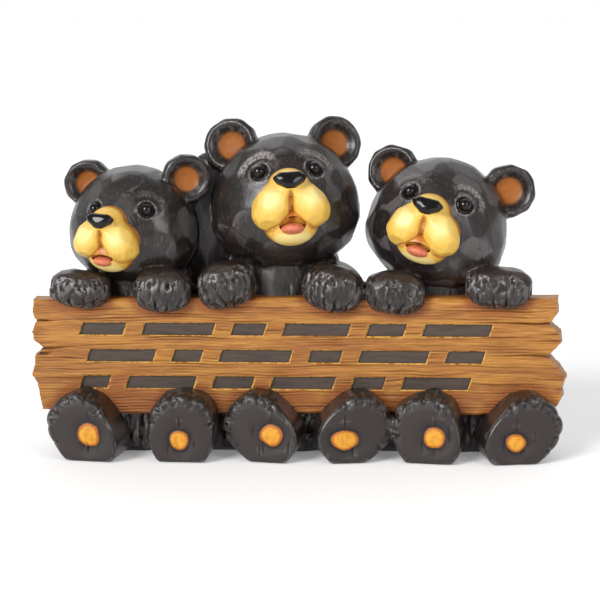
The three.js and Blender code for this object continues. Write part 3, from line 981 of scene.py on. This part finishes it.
def carve_fur(skin, form):
    """Upright fur strokes on the wall between the feet, then on the bodies and necks all round."""
    random = Random(SEEDS["fur"])
    for _ in range(WALL_STROKES):
        x = random.uniform(-0.15, 0.155)
        low = random.uniform(0.001, 0.02)
        top_x = x + random.uniform(-0.002, 0.002)
        ends = ((x, WALL_FRONT, low), (top_x, WALL_FRONT, low + random.uniform(0.01, 0.018)))
        skin.gouge(*ends, random.uniform(*WALL_WIDTHS), form.fur_groove * random.uniform(*WALL_DEPTHS))
    radii, heights = zip(*BODY_PROFILE)
    for _ in range(BODY_STROKES):
        cub = random.choice(CUBS)
        turn = random.uniform(0, 2 * math.pi)
        low = random.uniform(0.12, 1.0)
        shares = (low, low + random.uniform(0.09, 0.15))
        ends = [body_place(cub, float(np.interp(share, heights, radii)), share, turn) for share in shares]
        skin.gouge(*ends, random.uniform(*BODY_WIDTHS), form.fur_groove * random.uniform(*BODY_DEPTHS))


def paint_ears(skin):
    """Keeps how far inside an ear's dish each point lies."""
    inner = np.zeros(len(skin.points))
    for cub in CUBS:
        for ear in cub.ears:
            local = in_frame(skin.points, head_matrix(cub) @ ear_matrix(ear))
            across = np.hypot(local[:, 0], local[:, 2])
            within = step(EAR_DISH + 0.0012, EAR_DISH - 0.004, across)
            inner = np.maximum(inner, within * band(local[:, 1], -0.009, -0.006, 0.002, 0.004))
    store(skin.piece, "inner_ear", inner)


class CUBS_OT_fur(bpy.types.Operator):
    """Fuse heads, bodies, paws and feet to one casting and carve sockets, fingers, toes and fur"""

    bl_idname = "cubs.fur"
    bl_label = "Fused and carved fur"

    def execute(self, context):
        form = context.scene.cub_form
        names = [f"head_{k}" for k in range(len(CUBS))] + ["bodies", "paws", "feet"]
        cubs = join("cubs", [bpy.data.objects[name] for name in names])
        apply(cubs, "REMESH", mode="VOXEL", voxel_size=form.skin_grain, use_smooth_shade=True)
        skin = Skin(cubs)
        skin.points = skin.averaged(skin.points, 1)
        carve_sockets(skin, form)
        carve_fingers(skin, form)
        carve_soles(skin, form)
        carve_fur(skin, form)
        unevenness = [noise.noise(Vector(p) * 90) for p in skin.points]
        skin.sink(SKIN_UNEVENNESS * np.array(unevenness))
        skin.points[:, 2] = np.maximum(skin.points[:, 2], 0)
        skin.finish()
        paint_ears(skin)
        store(cubs, "matt", np.maximum.reduce([kept(cubs, name) for name in ("sole", "pad", "inner_ear")]))
        ways_and_places = zip(skin.normals, skin.points)
        store(cubs, "tone", [noise.noise(Vector(n) * 3.6 + Vector(p) * 6) for n, p in ways_and_places])
        store(cubs, "relief", skin.relief(10, form.fur_groove * 0.7))
        triangles = sum(len(face.vertices) - 2 for face in cubs.data.polygons)
        apply(cubs, "DECIMATE", ratio=min(1, form.fur_triangles / triangles))
        return {"FINISHED"}


def coated(piece, coat):
    piece.data.materials.clear()
    piece.data.materials.append(coat)
    for face in piece.data.polygons:
        face.use_smooth = True
    return piece


def fuse(whole, addition, operation="UNION"):
    """Joins a solid to another, or cuts it out, with each surface keeping its own paint."""
    settings = {"solver": "MANIFOLD", "material_mode": "TRANSFER"}
    apply(whole, "BOOLEAN", operation=operation, object=addition, **settings)
    bpy.data.objects.remove(addition)


def make_nose():
    """A broad rounded triangle, point down, with a domed sloping front and soft edges."""
    outline = [*NOSE_OUTLINE, *((-x, z) for x, z in reversed(NOSE_OUTLINE))]
    width, depth, height = NOSE_SIZE
    rings = []
    for out, size in NOSE_SECTION:
        rings.append([(x * width * size, -out * depth, z * height * size) for x, z in outline])
    nose = loft("nose", rings)
    apply(nose, "REMESH", mode="VOXEL", voxel_size=NOSE_GRAIN, use_smooth_shade=True)
    apply(nose, "SMOOTH", factor=0.5, iterations=6)
    return transform(nose, Matrix.Translation(NOSE) @ Matrix.Rotation(math.radians(NOSE_SLOPE), 4, "X"))


def nearness(piece, surface, reach):
    """How near each point of a piece lies to a surface, from 0 at that reach to 1 on it."""
    away = np.array([surface.find_nearest(point)[3] for point in points_of(piece)])
    return step(reach, 0.0003, away)


def make_upper_muzzle(form):
    """Two leaning lobes, a bridge and an upper lip run together, with the parting cut between the lobes."""
    out, forward, up = LOBE
    pieces = []
    for side in (-1, 1):
        lobe = chisel(add_ball("lobe", LOBE_RADII), LOBE_FACETS, LIMB_CHISEL, SEEDS["lobe"] + side)
        leaned = Matrix.Rotation(math.radians(-side * LOBE_LEAN), 4, "Y")
        pieces.append(transform(lobe, Matrix.Translation((side * out, forward, up)) @ leaned))
    pieces.append(add_ball("bridge", BRIDGE_RADII, BRIDGE))
    pieces.append(add_ball("upper_lip", UPPER_LIP_RADII, UPPER_LIP))
    muzzle = join("muzzle", pieces)
    apply(muzzle, "REMESH", mode="VOXEL", voxel_size=form.muzzle_grain, use_smooth_shade=True)
    apply(muzzle, "SMOOTH", factor=0.5, iterations=3)
    points = points_of(muzzle)
    front = step(-0.05, -0.06, points[:, 1]) * step(0.002, -0.004, points[:, 2])
    narrow, broad = (ridge(points[:, 0], 0, width) for width in PARTING_WIDTHS)
    depth = PARTING_DEPTH * (narrow + 0.3 * broad) * front
    move_points(muzzle, points - normals_of(muzzle) * depth[:, None])
    return muzzle


def make_muzzle(form, coats, cub):
    """The upper muzzle over a jaw with an open mouth and a tongue, and the nose."""
    yellow, mouth_brown, tongue_pink, black = coats
    muzzle = make_upper_muzzle(form)
    wide, deep, high = JAW_RADII
    jaw = add_ball("jaw", (wide, deep, high * cub.jaw), JAW)
    # Painted shade along the crease where the lobes meet the jaw.
    for piece, other, reach in zip((muzzle, jaw), (jaw, muzzle), CREASE_SHADE_REACHES):
        store(piece, "crease_shade", nearness(piece, surface_of(other), reach))
    wide, deep, high = MOUTH_RADII
    mouth = add_ball("mouth", (wide, deep, high * cub.opening), MOUTH, detail=4)
    fuse(coated(jaw, yellow), coated(mouth, mouth_brown), "DIFFERENCE")
    fuse(jaw, coated(add_ball("tongue", TONGUE_RADII, TONGUE, detail=4), tongue_pink))
    fuse(jaw, coated(muzzle, yellow))
    fuse(jaw, coated(make_nose(), black))
    return jaw


def airbrush_and_painted_light(muzzle, fur, cub):
    """Keeps where the airbrushed brown lies, by the fur and the parting, with the painted shade of the
    crease under the lobes, and where the painted highlights lie on the lobes and the lip.
    """
    local = in_frame(points_of(muzzle), head_matrix(cub))
    across, up = local[:, 0], local[:, 2]
    widening = 0.0019 + 0.003 * step(-0.012, -0.02, up)
    parting = ridge(across, 0, widening) * band(up, -0.03, -0.022, -0.004, 0.001)
    edge = nearness(muzzle, fur, AIRBRUSH_REACH)
    # The crease's painted shade goes in with the airbrushed brown.
    store(muzzle, "airbrush_and_painted_light", np.maximum.reduce([edge, parting, 0.8 * kept(muzzle, "crease_shade")]))
    out, forward, height = HIGHLIGHT_MIDDLE
    sides = [np.linalg.norm(local - (side * out, forward, height), axis=1) for side in (-1, 1)]
    from_lip = abs(up - LIP_HIGHLIGHT_HEIGHT) + step(0.012, 0.02, abs(across)) * 0.02
    painted_highlight = [*(ridge(side, 0, HIGHLIGHT_RADIUS) for side in sides), ridge(from_lip, 0, LIP_HIGHLIGHT_WIDTH)]
    store(muzzle, "painted_highlight", np.maximum.reduce(painted_highlight))


def surface_of(piece):
    return BVHTree.FromObject(piece, bpy.context.evaluated_depsgraph_get())


class CUBS_OT_faces(bpy.types.Operator):
    """Model muzzles, noses, tongues and eyes, and fuse them to the casting"""

    bl_idname = "cubs.faces"
    bl_label = "Faces"

    def execute(self, context):
        form = context.scene.cub_form
        paints = context.scene.cub_paints
        cubs = coated(bpy.data.objects["cubs"], fur_paint(paints))
        fur = surface_of(cubs)
        yellow, brown, pink = muzzle_paint(paints), mouth_paint(paints), tongue_paint(paints)
        black = gloss_black(paints)
        muzzles = []
        eyes = []
        for cub in CUBS:
            muzzle = make_muzzle(form, (yellow, brown, pink, black), cub)
            transform(muzzle, head_matrix(cub))
            airbrush_and_painted_light(muzzle, fur, cub)
            muzzles.append(muzzle)
            for place in eye_places(cub):
                eye = add_ball("eye", [EYE_RADIUS] * 3, place, detail=4)
                eyes.append(transform(eye, head_matrix(cub)))
        fuse(cubs, join("muzzles", muzzles))
        fuse(cubs, coated(join("eyes", eyes), black))
        only(cubs)
        bpy.ops.object.shade_smooth_by_angle(angle=math.radians(SHARP_ANGLE))
        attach(cubs, "root")
        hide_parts("three_cubs_and_board")
        return {"FINISHED"}


def board_section():
    """Points round the board's cross-section, as (depth, inset from the edge, share of the height)."""
    back = BOARD_FRONT + BOARD_THICKNESS
    front_rows = [(BOARD_FRONT, BARK_EDGE, share) for share in np.linspace(0, 1, FACE_ROWS)]
    back_rows = [(back, BARK_EDGE, share) for share in np.linspace(1, 0, FACE_ROWS)]
    across = np.linspace(BOARD_FRONT + BARK_EDGE, back - BARK_EDGE, EDGE_ROWS)
    return [*front_rows, *((y, 0, 1) for y in across), *back_rows, *((y, 0, 0) for y in reversed(across))]


def end_place(outline, z):
    insets, heights = zip(*reversed(outline))
    return float(np.interp(z, heights, insets))


def edge_height(edge, left, right, x):
    """Height of the board's upper or lower edge at a place along it."""
    places = sorted([*edge, (-HALF_LENGTH, left), (HALF_LENGTH, right)])
    return float(np.interp(x, *zip(*places)))


def make_plank(form):
    """A sheet of fine rows wrapped round the board's section. Its last stations close the torn ends."""
    section = board_section()
    bpy.ops.object.select_all(action="DESELECT")
    bpy.ops.mesh.primitive_grid_add(x_subdivisions=STATIONS, y_subdivisions=len(section), size=1)
    board = named("board")
    back = BOARD_FRONT + BOARD_THICKNESS
    for vertex in board.data.vertices:
        station = round((vertex.co.x + 0.5) * STATIONS)
        along = min(1, max(0, (station - 1) / (STATIONS - 2)))
        y, inset, share = section[round((vertex.co.y + 0.5) * len(section)) % len(section)]
        rough_x = (2 * along - 1) * HALF_LENGTH
        low = edge_height(LOWER_EDGE, LEFT_END[-1][1], RIGHT_END[-1][1], rough_x) + inset
        high = edge_height(UPPER_EDGE, LEFT_END[0][1], RIGHT_END[0][1], rough_x) - inset
        z = low + share * (high - low)
        if station in (0, STATIONS):
            y, inset = (BOARD_FRONT + back) / 2, 0
        ends = []
        for side, outline in ((-1, LEFT_END), (1, RIGHT_END)):
            ragged = 0.5 * noise.noise(Vector((side * 7, y * 120, z * 420)))
            ends.append(side * (HALF_LENGTH - end_place(outline, z) - inset / 2 - form.splinter * ragged))
        x = ends[0] + along * (ends[1] - ends[0])
        slope = END_SLOPE_RISE * float(step(END_SLOPE_FROM, HALF_LENGTH, x)) * (back - y) / BOARD_THICKNESS
        vertex.co = (x - slope, y, z)
    only(board)
    bpy.ops.object.mode_set(mode="EDIT")
    bpy.ops.mesh.select_all(action="SELECT")
    bpy.ops.mesh.remove_doubles(threshold=0.00001)
    bpy.ops.mesh.select_all(action="SELECT")
    bpy.ops.mesh.normals_make_consistent(inside=False)
    bpy.ops.object.mode_set(mode="OBJECT")
    return board


def cracks_of(side, outline):
    """A crack runs in from each notch of a torn end, as (start, length, height)."""
    for (above, _), (inset, z), (below, _) in zip(outline, outline[1:], outline[2:]):
        if inset >= max(above, below):
            yield side * (HALF_LENGTH - inset), CRACK_SPREAD * inset, z


def grain_cut(x, z, spacing):
    """How deep the grain is cut at a place, from 0 to 1: long wavy grooves that fade in and out."""
    wander = 0.003 * noise.noise(Vector((x * 11, z * 9, 1)))
    wander += 0.0009 * noise.noise(Vector((x * 45, z * 40, 2)))
    deep = 0
    for gap, weight, seed in ((spacing, 0.9, 3), (spacing * 0.43, 0.45, 8)):
        row = (z + wander) / gap
        part = abs(row - round(row)) * gap / GRAIN_WIDTH
        strength = min(1, max(0, 0.35 + 1.5 * noise.noise(Vector((x * 17, round(row) * 5.3, seed)))))
        deep += weight * strength * math.exp(-(part**2))
    return min(1, deep)


def crack_cut(x, z, cracks):
    deep = 0
    for start, long, height in cracks:
        run = 1 - abs(x - start) / long if abs(x) < abs(start) else 1
        off = z - height - 0.0012 * noise.noise(Vector((x * 50, height * 90, 4)))
        deep = max(deep, max(0, run) * math.exp(-((off / (0.0004 + 0.0004 * max(0, run))) ** 2)))
    return deep


def dash_corners(start, end, z, grown=0):
    half = STROKE_HEIGHT / 2 + grown
    low, high = z - half, z + half
    start, end = start - grown, end + grown
    return ((start, low), (end - STROKE_SLANT, low), (end, high), (start + STROKE_SLANT, high))


def make_dashes(name, rings):
    """One slanted block for each dash, through the rings given as (depth, growth)."""
    blocks = []
    for z, dashes in STROKE_ROWS:
        for start, end in dashes:
            corners = [(y, dash_corners(start, end, z, grown)) for y, grown in rings]
            blocks.append(loft("dash", [[(x, y, up) for x, up in ring] for y, ring in corners]))
    return join(name, blocks)


class CUBS_OT_board(bpy.types.Operator):
    """Cut the rough board with torn ends, long grain and rows of dashes"""

    bl_idname = "cubs.board"
    bl_label = "Board"

    def execute(self, context):
        form = context.scene.board_form
        paints = context.scene.cub_paints
        board = make_plank(form)
        points = points_of(board)
        normals = normals_of(board)
        cracks = [*cracks_of(-1, LEFT_END), *cracks_of(1, RIGHT_END)]
        grain = np.array([grain_cut(x, z + y, form.grain_spacing) for x, y, z in points])
        crack = np.array([crack_cut(x, z, cracks) for x, _, z in points])
        rough = np.array([noise.noise(Vector((p[0] * 30, p[1] * 60, p[2] * 70))) for p in points])
        depth = form.grain_depth * grain + form.crack_depth * crack + BOARD_UNEVENNESS * (rough + 0.5)
        along = 1 - step(0.5, 0.9, abs(normals[:, 0]))
        move_points(board, points - normals * (depth * along)[:, None])
        store(board, "grain", np.clip(grain * 0.9 + crack, 0, 1))
        # Painted shade on the board near the paws and feet.
        store(board, "painted_shade", nearness(board, surface_of(bpy.data.objects["cubs"]), PAINTED_SHADE_REACH))
        # The end faces count as torn wood even where they lie in a notch.
        from_tip = HALF_LENGTH - abs(points[:, 0]) - 0.0045 * (1 - along)
        store(board, "torn", step(0.0045, 0.001, from_tip))
        coated(board, board_paint(paints))
        rim_rings = ((BOARD_FRONT - 0.001, form.rim_width + 0.0006), (BOARD_FRONT + RIM_DEPTH, 0))
        rim = make_dashes("rims", rim_rings)
        fuse(board, coated(rim, rim_paint(paints)), "DIFFERENCE")
        recess = make_dashes("recesses", ((BOARD_FRONT - 0.004, 0), (BOARD_FRONT + form.stroke_depth, 0)))
        fuse(board, coated(recess, stroke_paint(paints)), "DIFFERENCE")
        only(board)
        bpy.ops.object.shade_smooth_by_angle(angle=math.radians(SHARP_ANGLE))
        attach(board, "root")
        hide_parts("three_cubs_and_board")
        return {"FINISHED"}


def add_node(tree, kind, settings=None, inputs=None):
    """Adds a node. settings are its own values, and inputs are sockets to link or values to set."""
    node = tree.nodes.new(kind)
    for name, value in (settings or {}).items():
        setattr(node, name, value)
    for name, value in (inputs or {}).items():
        socket = node.inputs[name]
        if isinstance(value, bpy.types.NodeSocket):
            tree.links.new(value, socket)
        elif socket.type == "RGBA":
            socket.default_value = (*value[:3], 1)
        else:
            socket.default_value = value
    return node


def new_paint(name, **shader_values):
    """A material with an empty node tree but for its shader, which is given its even values."""
    paint = bpy.data.materials.new(name)
    paint.use_nodes = True
    tree = paint.node_tree
    tree.nodes.clear()
    values = {name.replace("_", " "): value for name, value in shader_values.items()}
    shader = add_node(tree, "ShaderNodeBsdfPrincipled", inputs=values)
    add_node(tree, "ShaderNodeOutputMaterial", inputs={"Surface": shader.outputs["BSDF"]})
    return paint, tree, shader


def brush_marks(tree, size, detail=3, stretch=(1, 1, 1)):
    """Soft marks of a real size in metres, longer along an axis where stretch is over 1."""
    place = add_node(tree, "ShaderNodeTexCoord").outputs["Object"]
    longer = {"Vector": place, "Scale": [1 / s for s in stretch]}
    drawn = add_node(tree, "ShaderNodeMapping", inputs=longer).outputs["Vector"]
    marks = {"Vector": drawn, "Scale": 1 / size, "Detail": detail}
    return add_node(tree, "ShaderNodeTexNoise", inputs=marks).outputs["Fac"]


def lay_over(tree, under, over, mask, low=0.0, high=1.0, most=1.0):
    """Lays one colour over another where a mask lies between two levels, and at most so thickly.

    The mask is a socket, or the name of numbers kept on the mesh.
    """
    if isinstance(mask, str):
        mask = add_node(tree, "ShaderNodeAttribute", {"attribute_name": mask}).outputs["Fac"]
    span = {"Value": mask, "From Min": low, "From Max": high, "To Max": most}
    share = add_node(tree, "ShaderNodeMapRange", SMOOTH, span).outputs["Result"]
    return add_node(tree, "ShaderNodeMix", {"data_type": "RGBA"}, {0: share, 6: under, 7: over}).outputs[2]


def finish_paint(tree, shader, base, marks=None, height=0.0, roughness=None):
    """Links the last colour to the shader, with marks raised by a height in metres."""
    tree.links.new(base, shader.inputs["Base Color"])
    if roughness:
        tree.links.new(roughness, shader.inputs["Roughness"])
    if marks:
        relief = {"Height": marks, "Distance": height, "Strength": MARK_STRENGTH}
        raised = add_node(tree, "ShaderNodeBump", inputs=relief)
        tree.links.new(raised.outputs["Normal"], shader.inputs["Normal"])


def fur_paint(paints):
    """Charcoal acrylic under satin varnish: broad soft highlights on each facet, grey dragged over ridges.

    The soles, pads and ear dishes are left matt.
    """
    paint, tree, shader = new_paint("satin_varnished_charcoal_acrylic", IOR=1.45, Coat_Roughness=0.2)
    strokes = brush_marks(tree, FINE_BRISTLES, 4, (1, 1, 4))
    blotches = brush_marks(tree, WASH_BLOTCHES)
    dabs = brush_marks(tree, DABS)
    # A nearly dry brush leaves its paint by its own marks: on the brows, on the ridges and on the pads.
    on_brow = {"Value": strokes, "From Min": 0.38, "From Max": 0.6, "To Min": 0.15, "To Max": 0.9}
    on_ridge = {"Value": strokes, "From Min": 0.38, "From Max": 0.62, "To Min": 0.08, "To Max": 0.55}
    on_pad = {"Value": dabs, "From Min": 0.3, "From Max": 0.6, "To Min": 0.5, "To Max": 1.0}
    shares = [add_node(tree, "ShaderNodeMapRange", SMOOTH, share) for share in (on_brow, on_ridge, on_pad)]
    brow, dragged, dabbed = (share.outputs["Result"] for share in shares)
    base = lay_over(tree, paints.fur, paints.fur_brown, blotches, 0.45, 0.7, 0.5)
    base = lay_over(tree, base, paints.fur_light, "tone", 0.02, 0.35, 0.75)
    base = lay_over(tree, base, paints.fur_ridge, strokes, 0.52, 0.72, 0.12)
    base = lay_over(tree, base, paints.fur_brown, "wash", 0, 1, 0.7)
    base = lay_over(tree, base, paints.fur_ridge, "brow", 0, 1, brow)
    base = lay_over(tree, base, paints.sole, "sole")
    base = lay_over(tree, base, paints.fur_ridge, "relief", 0.25, 1, dragged)
    # Painted shade in the carved grooves, where the relief is low.
    base = lay_over(tree, base, paints.fur_groove_shade, "relief", -0.1, -0.8, 0.9)
    ear = lay_over(tree, paints.ear, paints.pad, dabs, 0.4, 0.75, 0.5)
    ear = lay_over(tree, ear, paints.ear_rim, "inner_ear", 1, 0.4, 0.8)
    base = lay_over(tree, base, ear, "inner_ear", 0, 0.7)
    pad = lay_over(tree, paints.pad, paints.pad_light, "pad", 0.7, 1, dabbed)
    pad = lay_over(tree, pad, paints.muzzle_edge, "pad", 0.85, 0.4, 0.7)
    base = lay_over(tree, base, pad, "pad", 0.15, 0.5)
    matt = add_node(tree, "ShaderNodeAttribute", {"attribute_name": "matt"}).outputs["Fac"]
    varnish = {"Value": matt, "To Min": 0.25, "To Max": 0.0}
    coat = add_node(tree, "ShaderNodeMapRange", SMOOTH, varnish)
    tree.links.new(coat.outputs["Result"], shader.inputs["Coat Weight"])
    polish = {"Value": matt, "To Min": 0.36, "To Max": 0.6}
    roughness = add_node(tree, "ShaderNodeMapRange", SMOOTH, polish).outputs["Result"]
    finish_paint(tree, shader, base, strokes, BRISTLE_HEIGHT, roughness)
    return paint


def muzzle_paint(paints):
    """Yellow acrylic with airbrushed orange-brown edges, painted shade where the lobes meet the jaw and
    painted highlights on the lobes and lip: a warm, even coat with a soft shine.
    """
    paint, tree, shader = new_paint(
        "satin_yellow_acrylic", IOR=1.45, Roughness=0.4, Coat_Weight=0.15, Coat_Roughness=0.25
    )
    strokes = brush_marks(tree, BRISTLES, 3, (1, 1, 5))
    base = lay_over(tree, paints.muzzle, paints.muzzle_streaks_and_highlight, strokes, 0.45, 0.75, 0.3)
    # Painted highlight over the middle of each lobe and along the lower lip.
    base = lay_over(tree, base, paints.muzzle_streaks_and_highlight, "painted_highlight")
    # Airbrushed brown round the edges, with painted shade in the crease under the lobes.
    base = lay_over(tree, base, paints.muzzle_edge, "airbrush_and_painted_light", 0.05, 1, 0.95)
    finish_paint(tree, shader, base, strokes, BRISTLE_HEIGHT)
    return paint


def mouth_paint(paints):
    """Brown acrylic inside the mouth, blotched with orange-brown and with a low shine."""
    paint, tree, shader = new_paint("satin_brown_acrylic", IOR=1.5, Roughness=0.5)
    spots = brush_marks(tree, SMALL_DABS)
    finish_paint(tree, shader, lay_over(tree, paints.mouth, paints.muzzle_edge, spots, 0.4, 0.8))
    return paint


def tongue_paint(paints):
    """Pink acrylic under gloss varnish, a little uneven."""
    paint, tree, shader = new_paint("glossy_pink_acrylic", IOR=1.5, Roughness=0.3)
    spots = brush_marks(tree, SMALL_DABS)
    finish_paint(tree, shader, lay_over(tree, paints.tongue, paints.mouth, spots, 0.4, 0.8, 0.4))
    return paint


def gloss_black(paints):
    """Black enamel, brushed on thick: deep black with small hard reflections of the lights."""
    paint, tree, shader = new_paint("gloss_black_enamel", IOR=1.42, Roughness=0.14)
    spots = brush_marks(tree, ENAMEL_MARKS)
    finish_paint(tree, shader, lay_over(tree, paints.black, paints.fur, spots, 0.4, 0.8, 0.3))
    return paint


def board_paint(paints):
    """Golden-brown acrylic like wood: washed dark in the grain and brushed light on its ridges, with painted
    shade round the paws and feet.
    """
    paint, tree, shader = new_paint(
        "washed_wood_look_acrylic", IOR=1.45, Coat_Weight=0.1, Coat_Roughness=0.3
    )
    fibres = brush_marks(tree, WOOD_FIBRES, 4, (20, 1, 1))
    bands = brush_marks(tree, WOOD_BANDS, 3, (14, 1, 1))
    base = lay_over(tree, paints.board, paints.board_light, bands, 0.35, 0.65, 0.8)
    base = lay_over(tree, base, paints.rim, fibres, 0.46, 0.3, 0.4)
    # Painted shade round the paws and feet.
    base = lay_over(tree, base, paints.board_painted_shade, "painted_shade", 0, 1, 0.85)
    base = lay_over(tree, base, paints.board_light, "torn", 0, 1, 0.5)
    base = lay_over(tree, base, paints.board_dark, fibres, 0.54, 0.64, 0.4)
    base = lay_over(tree, base, paints.board_dark, "grain", 0.15, 0.9, 0.85)
    polish = {"Value": fibres, "From Min": 0.3, "From Max": 0.7, "To Min": 0.42, "To Max": 0.6}
    roughness = add_node(tree, "ShaderNodeMapRange", SMOOTH, polish).outputs["Result"]
    finish_paint(tree, shader, base, fibres, FIBRE_HEIGHT, roughness)
    return paint


def rim_paint(paints):
    """Yellow acrylic dragged round the rim of each dash, broken where the brush missed."""
    paint, tree, shader = new_paint("dragged_yellow_acrylic", IOR=1.45, Roughness=0.5)
    spots = brush_marks(tree, SMALL_DABS)
    finish_paint(tree, shader, lay_over(tree, paints.rim, paints.board, spots, 0.45, 0.62))
    return paint


def stroke_paint(paints):
    """Dark brown acrylic on the floor of each dash, with faint streaks along it."""
    paint, tree, shader = new_paint("matt_dark_brown_acrylic", IOR=1.5, Roughness=0.6)
    streaks = brush_marks(tree, BRISTLES, 3, (8, 1, 1))
    finish_paint(tree, shader, lay_over(tree, paints.stroke, paints.fur_brown, streaks, 0.4, 0.7, 0.6))
    return paint


def floor_paint():
    """A white acrylic table top lit softly from below, as used for catalogue pictures."""
    paint, tree, shader = new_paint(
        "backlit_white_acrylic", Roughness=0.9, Emission_Color=linear("#FFFFFF"), Emission_Strength=0.17
    )
    spots = brush_marks(tree, FLOOR_MARKS)
    finish_paint(tree, shader, lay_over(tree, linear("#F8F8F8"), linear("#F5F5F5"), spots))
    return paint


def aim(piece, place):
    """Turns a light or the camera from its place to the point that all of them aim at."""
    piece.rotation_euler = (Vector(AIM) - Vector(place)).to_track_quat("-Z", "Y").to_euler()


def add_light(name, kind, place, power):
    bpy.ops.object.select_all(action="DESELECT")
    bpy.ops.object.light_add(type=kind, location=place)
    light = bpy.context.object
    light.name = name
    light.data.energy = power
    aim(light, place)
    return light


def white_room(setup):
    """A white room, brightest behind the figure, so that its dark front isn't washed out by reflections."""
    world = bpy.data.worlds.new("white_room")
    world.use_nodes = True
    tree = world.node_tree
    way = add_node(tree, "ShaderNodeTexCoord").outputs["Generated"]
    behind = add_node(tree, "ShaderNodeSeparateXYZ", inputs={"Vector": way}).outputs["Y"]
    levels = {"To Min": setup.surround_front, "To Max": setup.surround_back}
    room = {"Value": behind, "From Min": 0.1, "From Max": 0.85, **levels}
    strength = add_node(tree, "ShaderNodeMapRange", SMOOTH, room)
    tree.links.new(strength.outputs["Result"], tree.nodes["Background"].inputs["Strength"])
    tree.nodes["Background"].inputs["Color"].default_value = (1, 1, 1, 1)
    return world


class CUBS_OT_stage(bpy.types.Operator):
    """Set the pale floor, the soft lights and the camera"""

    bl_idname = "cubs.stage"
    bl_label = "Floor, lights and camera"

    def execute(self, context):
        setup = context.scene.cub_stage
        bpy.ops.object.select_all(action="DESELECT")
        bpy.ops.mesh.primitive_plane_add(size=setup.floor_size, location=(0, 0, FLOOR_HEIGHT))
        floor = coated(named("floor"), floor_paint())
        floor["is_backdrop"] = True
        key = add_light("key_light", "SUN", KEY_FROM, setup.sun_strength)
        key.data.angle = math.radians(KEY_SPREAD)
        for name, (place, size), power in (
            ("fill_light", FILL_LIGHT, setup.fill_power),
            ("back_light", BACK_LIGHT, setup.back_power),
        ):
            add_light(name, "AREA", place, power).data.size = size
        context.scene.world = white_room(setup)
        context.scene.view_settings.view_transform = "Standard"
        bpy.ops.object.select_all(action="DESELECT")
        bpy.ops.object.camera_add(location=CAMERA)
        camera = bpy.context.object
        camera.name = "camera"
        aim(camera, CAMERA)
        camera.data.lens = setup.lens
        camera.data.sensor_width = SENSOR_WIDTH
        context.scene.camera = camera
        return {"FINISHED"}


OPERATORS = (
    CUBS_OT_heads, CUBS_OT_bodies, CUBS_OT_paws, CUBS_OT_feet,
    CUBS_OT_fur, CUBS_OT_faces, CUBS_OT_board, CUBS_OT_stage,
)
SETTINGS = {"cub_form": CubForm, "board_form": BoardForm, "cub_paints": Paints, "cub_stage": StageSetup}


class CUBS_PT_sidebar(bpy.types.Panel):
    """Lists the steps that build the figure"""

    bl_label = "Bear Cubs With Board"
    bl_idname = "CUBS_PT_sidebar"
    bl_space_type = "VIEW_3D"
    bl_region_type = "UI"
    bl_category = "Cubs"

    def draw(self, context):
        for operator in OPERATORS:
            self.layout.operator(operator.bl_idname)
        for group_name, group in SETTINGS.items():
            box = self.layout.box()
            for setting in group.__annotations__:
                box.prop(getattr(context.scene, group_name), setting)


CLASSES = (*SETTINGS.values(), *OPERATORS, CUBS_PT_sidebar)


def register():
    for kind in CLASSES:
        bpy.utils.register_class(kind)
    for name, group in SETTINGS.items():
        setattr(bpy.types.Scene, name, bpy.props.PointerProperty(type=group))


def unregister():
    for name in SETTINGS:
        delattr(bpy.types.Scene, name)
    for kind in reversed(CLASSES):
        bpy.utils.unregister_class(kind)


def main():
    register()
    for operator in OPERATORS:
        group, name = operator.bl_idname.split(".")
        getattr(getattr(bpy.ops, group), name)()
    boxes = {"cad": CAD_BOX, "visual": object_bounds()}
    {name: [list(corner) for corner in box] for name, box in boxes.items()}


if __name__ == "__main__":
    main()
